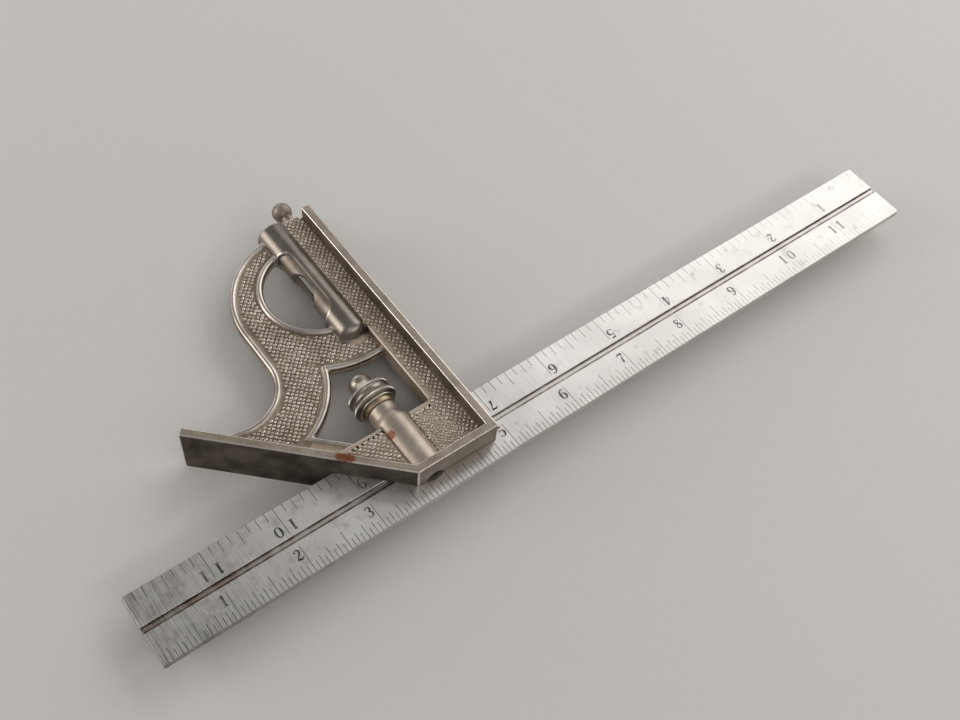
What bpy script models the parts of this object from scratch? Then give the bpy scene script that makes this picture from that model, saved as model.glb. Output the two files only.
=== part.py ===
"""A 12 inch combination square with a level and a scriber in its head, lying flat.

The square frame that the pieces are placed in has x along the blade with 0 on the 90 degree face,
y across the blade with 0 on the edge that seats in the head, and z up with 0 on the head's middle plane.
An empty moves that frame so that the world's origin is at the bottom centre of the whole square.
"""

import math

import bmesh
import bpy
from mathutils import Matrix, Vector

MM = 0.001

# Blade
BLADE_LENGTH = 304.8 * MM
BLADE_WIDTH = 25.4 * MM
BLADE_THICKNESS = 2.4 * MM
BLADE_END_RADIUS = 1.0 * MM
BLADE_SET = 122.4 * MM  # from the blade's left end to the 90 degree face, as it is clamped
GROOVE_WIDTH = 2.3 * MM
GROOVE_DEPTH = 0.9 * MM
GROOVE_INSET = 12.6 * MM  # from the seated edge to the groove's centre

# Clearances
FIT = 0.15 * MM  # between pieces that nest or screw together
SLOT_CLEARANCE = 0.2 * MM  # round the blade in its slot, and round the bolt's head
SEAT_GAP = 0.3 * MM  # between pieces that rest end to end

# Head casting
HEAD_WIDTH = 19.05 * MM  # across the working faces
FLANGE_90 = 3.0 * MM
FLANGE_45 = 2.8 * MM
NOSE_RIM = 2.9 * MM
FACE_90_LENGTH = 91.4 * MM  # from the blade's seat to the far end of the 90 degree face
FACE_45_LENGTH = 75.1 * MM
NOSE_REACH = 19.1 * MM  # how far the jaws overlap the blade
NOSE_WIDTH = 30.4 * MM
EDGE_CHAMFER = 0.25 * MM
BODY_THICKNESS = 7.9 * MM  # of the jaws, and of the strip that holds the scriber
WEB_THICKNESS = 2.3 * MM
BEAD_HALF_WIDTH = 1.15 * MM
BEAD_HEIGHT = 0.85 * MM  # above the web
BEAD_FLANK = 1.5 * MM  # upright part of a bead's edge, at mid height

# Curves of the web, as radii of the bead crests
CENTRE_INSET = 14.4 * MM  # from the 90 degree face to the centres of the arch and the D window
ARCH_RADIUS = 30.2 * MM  # upper part of the S-curve
ARCH_CENTRE_Y = 60.5 * MM
THROAT_RADIUS = 17.1 * MM  # lower, hollow part of the S-curve
THROAT_CENTRE_Y = 45.0 * MM
THROAT_END = math.radians(-100.0)
D_WINDOW_RADIUS = 19.2 * MM
D_WINDOW_CENTRE_Y = 64.6 * MM
ARM_WIDTH = 15.9 * MM  # between the S-curve's throat and the lower window
BRIDGE_WIDTH = 15.0 * MM  # between the D window and the lower window
LEDGE_WIDTH = 10.4 * MM  # from the 45 degree face to the lower window

# Jaws and strip, which bound the lower window below and on its right
JAW_TOP = 3.9 * MM  # above the blade's seat
STRIP_WIDTH = 10.3 * MM  # from the 90 degree face
STRIP_RISE = 2.2 * MM  # of the strip's end above the end of the 90 degree flange

# Scriber in the strip beside the 90 degree flange
SCRIBER_RADIUS = 1.2 * MM
SCRIBER_LENGTH = 78.5 * MM
SCRIBER_TAPER = 9.0 * MM
SCRIBER_BALL_RADIUS = 3.6 * MM
SCRIBER_STEM_RADIUS = 1.9 * MM
SCRIBER_STEM = 3.362 * MM
SCRIBER_COVER = 0.85 * MM  # metal left between the bush and the flange
BUSH_WALL = 0.6 * MM
BUSH_LENGTH = 8.0 * MM
BUSH_SPLIT = 0.5 * MM

# Level in its barrel
VIAL_RADIUS = 3.65 * MM
VIAL_WALL = 0.65 * MM
VIAL_LENGTH = 32.0 * MM
TUBE_WALL = 0.8 * MM
BARREL_WALL = 1.0 * MM
BARREL_TO_SCRIBER = 1.6 * MM
BARREL_BOTTOM = 38.3 * MM  # above the blade's seat
BARREL_RISE = 0.4 * MM  # of the barrel's mouth above the end of the strip
BARREL_EDGE = 0.8 * MM  # radius round the barrel's mouth
BARREL_DOME = 4.2 * MM
BARREL_FLOOR = 1.9 * MM  # metal between the dome and the bore
PLUG_LENGTH = 2.0 * MM
SIGHT_CENTRE_Y = 66.1 * MM
SIGHT_LENGTH = 31.4 * MM
SIGHT_CORNER = 5.0 * MM
SIGHT_DEPTH = 4.65 * MM  # cut into the barrel's side
SCOOP_RADIUS = 11.4 * MM
SCOOP_DEPTH = 2.8 * MM  # cut into the tube's side
BUBBLE_LENGTH = 11.0 * MM
BUBBLE_DEPTH = 0.9 * MM

# Clamp: bolt, spring, washer and nut on one axis across the blade
CLAMP_OFFSET = 24.0 * MM  # from the 90 degree face
BOLT_RADIUS = 2.4 * MM
BOLT_HEAD_RADIUS = 3.4 * MM
BOLT_COLLAR = 2.0 * MM
BOLT_THREAD = 10.1 * MM  # screwed into the nut
TAIL_MARGIN = 2.0 * MM  # of the bolt's tail short of the nose
LUG_WIDTH = 1.2 * MM
LUG_LENGTH = 3.8 * MM
LUG_ENGAGEMENT = 0.45 * MM
LUG_DRAW = 0.15 * MM  # of the clamped lug from the groove's middle towards the seat
BOSS_WALL = 2.6 * MM
NECK_WALL = 1.6 * MM
NECK_TOP = 11.0 * MM  # above the blade's seat
NECK_LEDGE = 2.4 * MM  # shoulder in the neck that the spring pushes against
BOSS_SHOULDER = 3.6 * MM
WASHER_THICKNESS = 1.9 * MM
WASHER_RADIUS = 5.6 * MM
NUT_BASE_RADIUS = 5.3 * MM
NUT_RIM_RADIUS = 7.9 * MM
NUT_RIM_RISE = 1.05 * MM  # from the nut's base to the crest of its lower rim
NUT_RIM_SPACING = 4.15 * MM  # between the crests of the two rims
NUT_RIM_ROUND = 0.6 * MM  # radius of a rim's edge
NUT_TOP_RIM_RADIUS = 7.6 * MM
NUT_WAIST_RADIUS = 6.55 * MM
NUT_SHOULDER_RADIUS = 5.4 * MM
NUT_SHOULDER_RISE = 0.9 * MM  # from the upper rim's crest
NUT_BELL_RISE = 3.46 * MM  # from the shoulder to the round top
NUT_BALL_RADIUS = 4.0 * MM
SPRING_WIRE = 0.8 * MM
SPRING_TURNS = 3.25
SPRING_POINTS = 10  # on each turn

# Facets
ROUND = 32
SMALL_ROUND = 20
ARC_STEP = math.radians(5.0)
BEAD_FACETS = 6

# Sizes that follow from those above
TUBE_BORE = VIAL_RADIUS + FIT
TUBE_RADIUS = TUBE_BORE + TUBE_WALL
BARREL_BORE = TUBE_RADIUS + FIT
BARREL_RADIUS = BARREL_BORE + BARREL_WALL
BUSH_BORE = SCRIBER_RADIUS + FIT
BUSH_RADIUS = BUSH_BORE + BUSH_WALL
BUSH_SEAT = BUSH_RADIUS + FIT
SCRIBER_X = -(FLANGE_90 + SCRIBER_COVER + BUSH_SEAT)
BARREL_X = SCRIBER_X - BUSH_SEAT - BARREL_TO_SCRIBER - BARREL_BORE
CLAMP_X = -CLAMP_OFFSET
BOSS_BORE = BOLT_HEAD_RADIUS + SLOT_CLEARANCE
BOSS_RADIUS = BOSS_BORE + BOSS_WALL
NECK_BORE = BOLT_RADIUS + FIT
NECK_RADIUS = BOSS_BORE + NECK_WALL
SLOT_HALF = BLADE_THICKNESS / 2 + SLOT_CLEARANCE
STRIP_TOP = FACE_90_LENGTH + STRIP_RISE
BARREL_TOP = STRIP_TOP + BARREL_RISE
WASHER_BASE = NECK_TOP + FIT
NUT_BASE = WASHER_BASE + WASHER_THICKNESS + FIT
BALL_CENTRE_Y = STRIP_TOP + SEAT_GAP + SCRIBER_STEM + math.sqrt(SCRIBER_BALL_RADIUS**2 - SCRIBER_STEM_RADIUS**2)
BEYOND = HEAD_WIDTH  # cutters reach this far past what they cut

FACE_45_SUM = -(NOSE_WIDTH + NOSE_REACH)  # x + y along the 45 degree face
ARCH_CENTRE = Vector((-CENTRE_INSET, ARCH_CENTRE_Y))
D_CENTRE = Vector((-CENTRE_INSET, D_WINDOW_CENTRE_Y))
THROAT_CENTRE = Vector((-CENTRE_INSET - ARCH_RADIUS - THROAT_RADIUS, THROAT_CENTRE_Y))


def clear_scene():
    """Removes whatever the file held."""
    for obj in list(bpy.data.objects):
        bpy.data.objects.remove(obj)


def polar(centre, radius, angle):
    """The point at an angle on a circle."""
    return Vector((centre[0] + radius * math.cos(angle), centre[1] + radius * math.sin(angle)))


def arc(centre, radius, start, end):
    """Points along an arc, both ends included."""
    count = max(2, math.ceil(abs(end - start) / ARC_STEP))
    return [polar(centre, radius, start + (end - start) * i / count) for i in range(count + 1)]


def line_hit(point, direction, total):
    """Where a ray in the plane reaches the line x + y = total."""
    return point + direction * ((total - point.x - point.y) / (direction.x + direction.y))


def circle_y(centre, radius, x):
    """The lower y of a circle at x."""
    return centre.y - math.sqrt(radius**2 - (x - centre.x) ** 2)


def circles_meet(first, first_radius, second, second_radius):
    """The lower crossing of two circles."""
    gap = second - first
    along = (first_radius**2 - second_radius**2 + gap.length_squared) / (2 * gap.length)
    across = math.sqrt(first_radius**2 - along**2)
    side = Vector((-gap.y, gap.x)).normalized() * across
    middle = first + gap.normalized() * along
    return min(middle + side, middle - side, key=lambda point: point.y)


def finish(name, shape, at=(0, 0, 0)):
    """Makes an object of a bmesh, with its faces pointing out."""
    bmesh.ops.recalc_face_normals(shape, faces=shape.faces)
    mesh = bpy.data.meshes.new(name)
    shape.to_mesh(mesh)
    shape.free()
    mesh.shade_smooth()
    mesh.set_sharp_from_angle(angle=math.radians(35))
    obj = bpy.data.objects.new(name, mesh)
    obj.location = at
    bpy.context.collection.objects.link(obj)
    return obj


PLANES = {
    "XY": lambda a, b, c: (a, b, c),
    "YZ": lambda a, b, c: (c, a, b),
}


def prism(name, outline, low, high, plane="XY", chamfer=0.0):
    """A flat outline extruded square to its plane, with its long edges chamfered if asked."""
    place = PLANES[plane]
    shape = bmesh.new()
    base = shape.faces.new([shape.verts.new(place(a, b, low)) for a, b in outline])
    grown = bmesh.ops.extrude_face_region(shape, geom=[base])
    top = [item for item in grown["geom"] if isinstance(item, bmesh.types.BMVert)]
    bmesh.ops.translate(shape, verts=top, vec=place(0, 0, high - low))
    if chamfer:
        bmesh.ops.bevel(shape, geom=shape.edges[:], offset=chamfer, segments=1, affect="EDGES")
    return finish(name, shape)


def lathe(name, profile, at, closed=False, steps=ROUND, phase=0.0):
    """A profile of (radius, y) turned about the y axis; a closed one is a ring, and phase is a share of a facet."""
    shape = bmesh.new()
    rings = []
    for radius, y in profile:
        if radius == 0:
            rings.append([shape.verts.new((0, y, 0))] * steps)
            continue
        turns = (2 * math.pi * (i + phase) / steps for i in range(steps))
        rings.append([shape.verts.new((radius * math.cos(a), y, radius * math.sin(a))) for a in turns])
    pairs = list(zip(rings, rings[1:]))
    if closed:
        pairs.append((rings[-1], rings[0]))
    for first, second in pairs:
        for i in range(steps):
            j = (i + 1) % steps
            corners = dict.fromkeys((first[i], first[j], second[j], second[i]))
            shape.faces.new(list(corners))
    return finish(name, shape, at)


def sweep(name, path, profile):
    """A profile of (offset, z) carried along a path in the plane, with mitred corners and flat ends."""
    shape = bmesh.new()
    rings = []
    headings = [(second - first).normalized() for first, second in zip(path, path[1:])]
    for i, point in enumerate(path):
        leaving = headings[min(i, len(headings) - 1)]
        middle = (headings[max(i - 1, 0)] + leaving).normalized()
        normal = Vector((middle.y, -middle.x)) / middle.dot(leaving)
        spots = [(point + normal * offset, z) for offset, z in profile]
        rings.append([shape.verts.new((spot.x, spot.y, z)) for spot, z in spots])
    for first, second in zip(rings, rings[1:]):
        for i in range(len(profile)):
            j = (i + 1) % len(profile)
            shape.faces.new((first[i], first[j], second[j], second[i]))
    shape.faces.new(rings[0])
    shape.faces.new(reversed(rings[-1]))
    return finish(name, shape)


def box(name, low, high):
    """A box between two corners."""
    outline = [(low[0], low[1]), (high[0], low[1]), (high[0], high[1]), (low[0], high[1])]
    return prism(name, outline, low[2], high[2])


def boolean(target, operation, *others):
    """Cuts or joins the others into the target, and keeps them out of the build."""
    for other in others:
        other.hide_render = True
        other.display_type = "WIRE"
        other.hide_set(True)
        modifier = target.modifiers.new(other.name, "BOOLEAN")
        modifier.operation = operation
        modifier.solver = "EXACT"
        modifier.object = other


def paint(obj, colour, roughness, metallic, alpha=1.0):
    """Gives an object its own plain material."""
    material = bpy.data.materials.new(obj.name)
    material.use_nodes = True
    shader = material.node_tree.nodes["Principled BSDF"]
    shader.inputs["Base Color"].default_value = (*colour, 1.0)
    shader.inputs["Roughness"].default_value = roughness
    shader.inputs["Metallic"].default_value = metallic
    shader.inputs["Alpha"].default_value = alpha
    obj.data.materials.append(material)
    return obj


def s_curve():
    """Crest of the bead along the S-curve: an arch, a straight fall and a hollow down to the 45 degree flange."""
    arch = arc(ARCH_CENTRE, ARCH_RADIUS, math.pi / 2, math.pi)
    throat = arc(THROAT_CENTRE, THROAT_RADIUS, 0, THROAT_END)
    heading = Vector((math.sin(THROAT_END), -math.cos(THROAT_END)))
    foot = line_hit(throat[-1], heading, FACE_45_SUM + FLANGE_45 / math.sqrt(2))
    return arch + throat + [foot]


def body_outline():
    """Outer edge of the thick L of jaws and strip, which ends inside the flanges and the nose rim."""
    inside_45 = FACE_45_SUM + FLANGE_45 / math.sqrt(2)
    nose_y = -NOSE_REACH + NOSE_RIM / 2
    return [
        Vector((inside_45 - nose_y, nose_y)),
        Vector((-FLANGE_90 / 2, nose_y)),
        Vector((-FLANGE_90 / 2, FACE_90_LENGTH - STRIP_RISE / 2)),
        Vector((-FLANGE_90 - STRIP_RISE / 2, STRIP_TOP - STRIP_RISE / 3)),
        Vector((SCRIBER_X, STRIP_TOP)),
        Vector((-STRIP_WIDTH, STRIP_TOP)),
        Vector((-STRIP_WIDTH, JAW_TOP)),
        Vector((inside_45 - JAW_TOP, JAW_TOP)),
    ]


def web_outline():
    """Outer edge of the thin web, which ends inside its thicker neighbours and on the S-curve's crest."""
    inside_45 = FACE_45_SUM + FLANGE_45 / math.sqrt(2)
    inside_barrel = BARREL_BOTTOM + BARREL_DOME
    curve = s_curve()
    return [
        Vector((inside_45 - JAW_TOP / 2, JAW_TOP / 2)),
        Vector((-STRIP_WIDTH / 2, JAW_TOP / 2)),
        Vector((-STRIP_WIDTH / 2, inside_barrel)),
        Vector((BARREL_X, inside_barrel)),
        Vector((BARREL_X, curve[0].y)),
        *curve,
    ]


def lower_window():
    """Crest of the bead round the lower window, from the strip to the jaws: bridge, arm and ledge."""
    bridge = D_WINDOW_RADIUS + BRIDGE_WIDTH
    arm = THROAT_RADIUS + ARM_WIDTH
    inside_strip = -STRIP_WIDTH * 0.75
    right = Vector((inside_strip, circle_y(D_CENTRE, bridge, inside_strip)))
    cusp = circles_meet(D_CENTRE, bridge, THROAT_CENTRE, arm)
    ledge_sum = FACE_45_SUM + LEDGE_WIDTH * math.sqrt(2)
    # The arm's arc meets the ledge where x + y along the circle falls to the ledge's sum
    lean = (ledge_sum - THROAT_CENTRE.x - THROAT_CENTRE.y) / (arm * math.sqrt(2))
    foot_angle = math.pi / 4 - math.acos(lean)
    top = arc(D_CENTRE, bridge, angle_of(D_CENTRE, right), angle_of(D_CENTRE, cusp))
    side = arc(THROAT_CENTRE, arm, angle_of(THROAT_CENTRE, cusp), foot_angle)
    inside_jaws = JAW_TOP * 0.75
    return top + side[1:] + [Vector((ledge_sum - inside_jaws, inside_jaws))]


def angle_of(centre, point):
    """The angle of a point seen from a centre."""
    return math.atan2(point.y - centre.y, point.x - centre.x)


def bead(name, path):
    """A rim with a round top and bottom along a path, standing out from both faces of the web."""
    flank = BEAD_FLANK / 2
    rise = WEB_THICKNESS / 2 + BEAD_HEIGHT - flank
    turns = [math.pi * i / BEAD_FACETS for i in range(BEAD_FACETS + 1)]
    profile = [(BEAD_HALF_WIDTH * math.cos(a), flank + rise * math.sin(a)) for a in turns]
    profile += [(offset, -z) for offset, z in reversed(profile)]
    return sweep(name, path, profile)


def rim():
    """The 45 degree flange, the nose rim and the 90 degree flange as one bent plate."""
    nose_left = Vector((-NOSE_WIDTH, -NOSE_REACH))
    along = Vector((-1, 1)).normalized()
    inward = Vector((1, 1)).normalized()
    far = nose_left + along * FACE_45_LENGTH
    inner_sum = FACE_45_SUM + FLANGE_45 * math.sqrt(2)
    inner_y = -NOSE_REACH + NOSE_RIM
    outline = [
        far,
        nose_left,
        Vector((0, -NOSE_REACH)),
        Vector((0, FACE_90_LENGTH)),
        Vector((-FLANGE_90, FACE_90_LENGTH)),
        Vector((-FLANGE_90, inner_y)),
        Vector((inner_sum - inner_y, inner_y)),
        far + inward * FLANGE_45,
    ]
    return prism("rim", outline, -HEAD_WIDTH / 2, HEAD_WIDTH / 2, chamfer=EDGE_CHAMFER)


def barrel():
    """The level's barrel, domed at its lower end."""
    dome = [
        (BARREL_RADIUS * math.sin(a), BARREL_BOTTOM + BARREL_DOME * (1 - math.cos(a)))
        for a in (math.pi / 2 * i / 6 for i in range(7))
    ]
    mouth = [
        (BARREL_RADIUS - BARREL_EDGE * (1 - math.cos(a)), BARREL_TOP - BARREL_EDGE * (1 - math.sin(a)))
        for a in (math.pi / 2 * i / 3 for i in range(4))
    ]
    return lathe("barrel", [(0, BARREL_BOTTOM)] + dome[1:] + mouth + [(0, BARREL_TOP)], (BARREL_X, 0, 0))


def sight_cut():
    """Cutter for the sight opening in the barrel's side, round at its corners."""
    edge = BARREL_X - BARREL_RADIUS + SIGHT_DEPTH
    top = SIGHT_CENTRE_Y + SIGHT_LENGTH / 2 - SIGHT_CORNER
    bottom = SIGHT_CENTRE_Y - SIGHT_LENGTH / 2 + SIGHT_CORNER
    pivot = edge - SIGHT_CORNER
    sweep_end = math.acos((SIGHT_CORNER - SIGHT_DEPTH - FIT) / SIGHT_CORNER)  # stops just outside the barrel
    outline = arc((pivot, bottom), SIGHT_CORNER, -sweep_end, 0) + arc((pivot, top), SIGHT_CORNER, 0, sweep_end)
    return prism("sight_cut", outline, -BARREL_RADIUS * 2, BARREL_RADIUS * 2)


def boss():
    """The clamp's boss across the jaws, with a round shoulder up to its neck."""
    foot = -NOSE_REACH + NOSE_RIM / 2
    drop = BOSS_RADIUS - NECK_RADIUS
    shoulder = [
        (NECK_RADIUS + drop * share, JAW_TOP + BOSS_SHOULDER * rise)
        for share, rise in ((1.0, 0.0), (0.86, 0.3), (0.5, 0.6), (0.15, 0.85), (0.0, 1.1))
    ]
    profile = [(0, foot), (BOSS_RADIUS, foot), *shoulder, (NECK_RADIUS, NECK_TOP), (0, NECK_TOP)]
    return lathe("boss", profile, (CLAMP_X, 0, 0))


def head():
    """The casting, bored and slotted."""
    body = prism("square_head", web_outline(), -WEB_THICKNESS / 2, WEB_THICKNESS / 2)
    d_arc = arc(D_CENTRE, D_WINDOW_RADIUS, math.pi / 2, 3 * math.pi / 2)
    d_cut = prism("d_window_cut", d_arc, -BEYOND, BEYOND)
    window = lower_window()
    corner = Vector((window[0].x, window[-1].y))
    lower_cut = prism("lower_window_cut", window + [corner], -BEYOND, BEYOND)
    boolean(body, "DIFFERENCE", d_cut, lower_cut)

    boolean(
        body,
        "UNION",
        prism("jaws_and_strip", body_outline(), -BODY_THICKNESS / 2, BODY_THICKNESS / 2),
        rim(),
        bead("s_bead", s_curve()),
        bead("d_bead", d_arc),
        bead("window_bead", window),
        barrel(),
        boss(),
    )

    slot = box("blade_slot", (-BLADE_LENGTH, -BLADE_WIDTH, -SLOT_HALF), (BEYOND, SLOT_CLEARANCE, SLOT_HALF))
    barrel_floor = BARREL_BOTTOM + BARREL_DOME + BARREL_FLOOR
    barrel_bore = lathe(
        "barrel_bore",
        [(0, barrel_floor), (BARREL_BORE, barrel_floor), (BARREL_BORE, BARREL_TOP + BEYOND), (0, BARREL_TOP + BEYOND)],
        (BARREL_X, 0, 0),
        phase=0.5,
    )
    neck_ledge = NECK_TOP - NECK_LEDGE
    clamp_bore = lathe(
        "clamp_bore",
        [
            (0, -NOSE_REACH - BEYOND),
            (BOSS_BORE, -NOSE_REACH - BEYOND),
            (BOSS_BORE, neck_ledge),
            (NECK_BORE, neck_ledge),
            (NECK_BORE, NECK_TOP + WASHER_THICKNESS),
            (0, NECK_TOP + WASHER_THICKNESS),
        ],
        (CLAMP_X, 0, 0),
        phase=0.5,
    )
    bush_floor = STRIP_TOP - BUSH_LENGTH - SEAT_GAP
    drill_end = BALL_CENTRE_Y - SCRIBER_LENGTH - SEAT_GAP * 4
    scriber_bore = lathe(
        "scriber_bore",
        [
            (0, drill_end),
            (BUSH_BORE + FIT, drill_end),
            (BUSH_BORE + FIT, bush_floor),
            (BUSH_SEAT, bush_floor),
            (BUSH_SEAT, STRIP_TOP + BEYOND),
            (0, STRIP_TOP + BEYOND),
        ],
        (SCRIBER_X, 0, 0),
        steps=SMALL_ROUND,
    )
    boolean(body, "DIFFERENCE", sight_cut(), barrel_bore, clamp_bore, scriber_bore, slot)
    return paint(body, (0.30, 0.27, 0.24), 0.45, 0.9)


def blade():
    """The rule: a flat bar with a round-bottomed groove along its upper face."""
    half = BLADE_THICKNESS / 2
    bow = (GROOVE_WIDTH**2 / 4 + GROOVE_DEPTH**2) / (2 * GROOVE_DEPTH)
    spread = math.asin(GROOVE_WIDTH / 2 / bow)
    dip = half - GROOVE_DEPTH + bow
    groove = [
        (-GROOVE_INSET + bow * math.sin(a), dip - bow * math.cos(a))
        for a in (spread * (1 - i / 4) for i in range(9))
    ]
    section = [(0, -half), (0, half), *groove, (-BLADE_WIDTH, half), (-BLADE_WIDTH, -half)]
    bar = prism("blade", section, -BLADE_SET, BLADE_LENGTH - BLADE_SET, plane="YZ")
    shape = bmesh.new()
    shape.from_mesh(bar.data)
    far_x = BLADE_LENGTH - BLADE_SET
    corners = [
        edge
        for edge in shape.edges
        if all(abs(v.co.x - far_x) < BLADE_END_RADIUS / 10 for v in edge.verts)
        and edge.verts[0].co.y == edge.verts[1].co.y
        and abs(edge.verts[0].co.z - edge.verts[1].co.z) > half
    ]
    bmesh.ops.bevel(shape, geom=corners, offset=BLADE_END_RADIUS, segments=4, affect="EDGES")
    shape.to_mesh(bar.data)
    shape.free()
    return paint(bar, (0.55, 0.55, 0.54), 0.32, 1.0)


def lock_bolt():
    """The draw bolt: threaded shank, collar, and a tail milled flat beside the blade with its lug."""
    tail = -NOSE_REACH + TAIL_MARGIN
    flat = SLOT_HALF
    collar_base = SLOT_CLEARANCE + SEAT_GAP
    collar_top = collar_base + BOLT_COLLAR
    end = NUT_BASE + BOLT_THREAD
    profile = [
        (0, tail),
        (BOLT_HEAD_RADIUS, tail),
        (BOLT_HEAD_RADIUS, collar_top),
        (BOLT_RADIUS, collar_top),
        (BOLT_RADIUS, end - EDGE_CHAMFER * 2),
        (BOLT_RADIUS - EDGE_CHAMFER * 2, end),
        (0, end),
    ]
    bolt = lathe("lock_bolt", profile, (CLAMP_X, 0, 0))
    milled = box(
        "tail_flat",
        (CLAMP_X - BEYOND, tail - BEYOND, -BEYOND),
        (CLAMP_X + BEYOND, collar_base, flat),
    )
    lug_y = -GROOVE_INSET + LUG_DRAW
    lug = box(
        "lug",
        (CLAMP_X - LUG_LENGTH / 2, lug_y - LUG_WIDTH / 2, BLADE_THICKNESS / 2 - LUG_ENGAGEMENT),
        (CLAMP_X + LUG_LENGTH / 2, lug_y + LUG_WIDTH / 2, flat + BOLT_RADIUS / 4),
    )
    boolean(bolt, "DIFFERENCE", milled)
    boolean(bolt, "UNION", lug)
    return paint(bolt, (0.42, 0.40, 0.38), 0.4, 1.0)


def nut_rim(radius, y):
    """Profile points round the edge of one of the nut's rims."""
    turns = (math.pi * i / 4 for i in range(5))
    return [(radius - NUT_RIM_ROUND * (1 - math.sin(a)), y - NUT_RIM_ROUND * math.cos(a)) for a in turns]


def lock_nut():
    """The clamp nut: a coved base, two rims with a waist between, and a bell-shaped finial."""
    base = NUT_BASE
    rim_y = base + NUT_RIM_RISE
    top_rim_y = rim_y + NUT_RIM_SPACING
    shoulder = top_rim_y + NUT_SHOULDER_RISE
    ball_y = shoulder + NUT_BELL_RISE
    ball = [
        (NUT_BALL_RADIUS * math.sin(a), ball_y - NUT_BALL_RADIUS * math.cos(a))
        for a in (math.pi / 2 * (1 + i / 7) for i in range(7))
    ]
    cove = NUT_RIM_RADIUS - NUT_RIM_ROUND - NUT_BASE_RADIUS
    profile = [
        (0, base + BOLT_THREAD + SEAT_GAP),
        (NECK_BORE, base + BOLT_THREAD + SEAT_GAP),
        (NECK_BORE, base),
        (NUT_BASE_RADIUS, base),
        (NUT_BASE_RADIUS + cove / 2, base + (NUT_RIM_RISE - NUT_RIM_ROUND) / 4),
        *nut_rim(NUT_RIM_RADIUS, rim_y),
        (NUT_WAIST_RADIUS, rim_y + NUT_RIM_SPACING * 0.42),
        (NUT_WAIST_RADIUS, rim_y + NUT_RIM_SPACING * 0.64),
        *nut_rim(NUT_TOP_RIM_RADIUS, top_rim_y),
        (NUT_SHOULDER_RADIUS, shoulder),
        *ball,
        (0, ball_y + NUT_BALL_RADIUS),
    ]
    return paint(lathe("lock_nut", profile, (CLAMP_X, 0, 0)), (0.34, 0.31, 0.29), 0.35, 1.0)


def ring(name, inner, outer, low, high, x, steps=ROUND):
    """A plain sleeve or washer on an axis along y."""
    profile = [(inner, low), (outer, low), (outer, high), (inner, high)]
    return lathe(name, profile, (x, 0, 0), closed=True, steps=steps)


def disc(name, radius, low, high, x, steps=ROUND):
    """A plain solid cylinder on an axis along y."""
    return lathe(name, [(0, low), (radius, low), (radius, high), (0, high)], (x, 0, 0), steps=steps)


def nut_washer():
    """The thin ring that the nut turns on."""
    top = WASHER_BASE + WASHER_THICKNESS
    washer = ring("nut_washer", NECK_BORE, WASHER_RADIUS, WASHER_BASE, top, CLAMP_X)
    return paint(washer, (0.52, 0.44, 0.33), 0.4, 1.0)


def lock_spring():
    """The coil between the bolt's collar and the ledge in the neck."""
    wire = SPRING_WIRE / 2
    low = SLOT_CLEARANCE + SEAT_GAP + BOLT_COLLAR + SEAT_GAP + wire
    high = NECK_TOP - NECK_LEDGE - SEAT_GAP - wire
    radius = (BOLT_RADIUS + BOSS_BORE) / 2
    count = math.ceil(SPRING_TURNS * SPRING_POINTS)
    points = []
    for i in range(count + 1):
        angle = 2 * math.pi * SPRING_TURNS * i / count
        points.append((radius * math.cos(angle), low + (high - low) * i / count, radius * math.sin(angle)))
    curve = bpy.data.curves.new("lock_spring", "CURVE")
    curve.dimensions = "3D"
    curve.bevel_depth = wire
    curve.bevel_resolution = 1
    curve.use_fill_caps = True
    spline = curve.splines.new("POLY")
    spline.points.add(count)
    for spot, point in zip(spline.points, points):
        spot.co = (*point, 1.0)
    coil = bpy.data.objects.new("lock_spring", curve)
    coil.location = (CLAMP_X, 0, 0)
    bpy.context.collection.objects.link(coil)
    far = SPRING_POINTS // 2
    gaps = [
        (Vector(a) - Vector(b)).length - SPRING_WIRE for i, a in enumerate(points) for b in points[i + far :]
    ]
    print(f"lock_spring: least gap between turns {min(gaps) / MM:.2f} mm")
    return paint(coil, (0.35, 0.34, 0.33), 0.4, 1.0)


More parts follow.
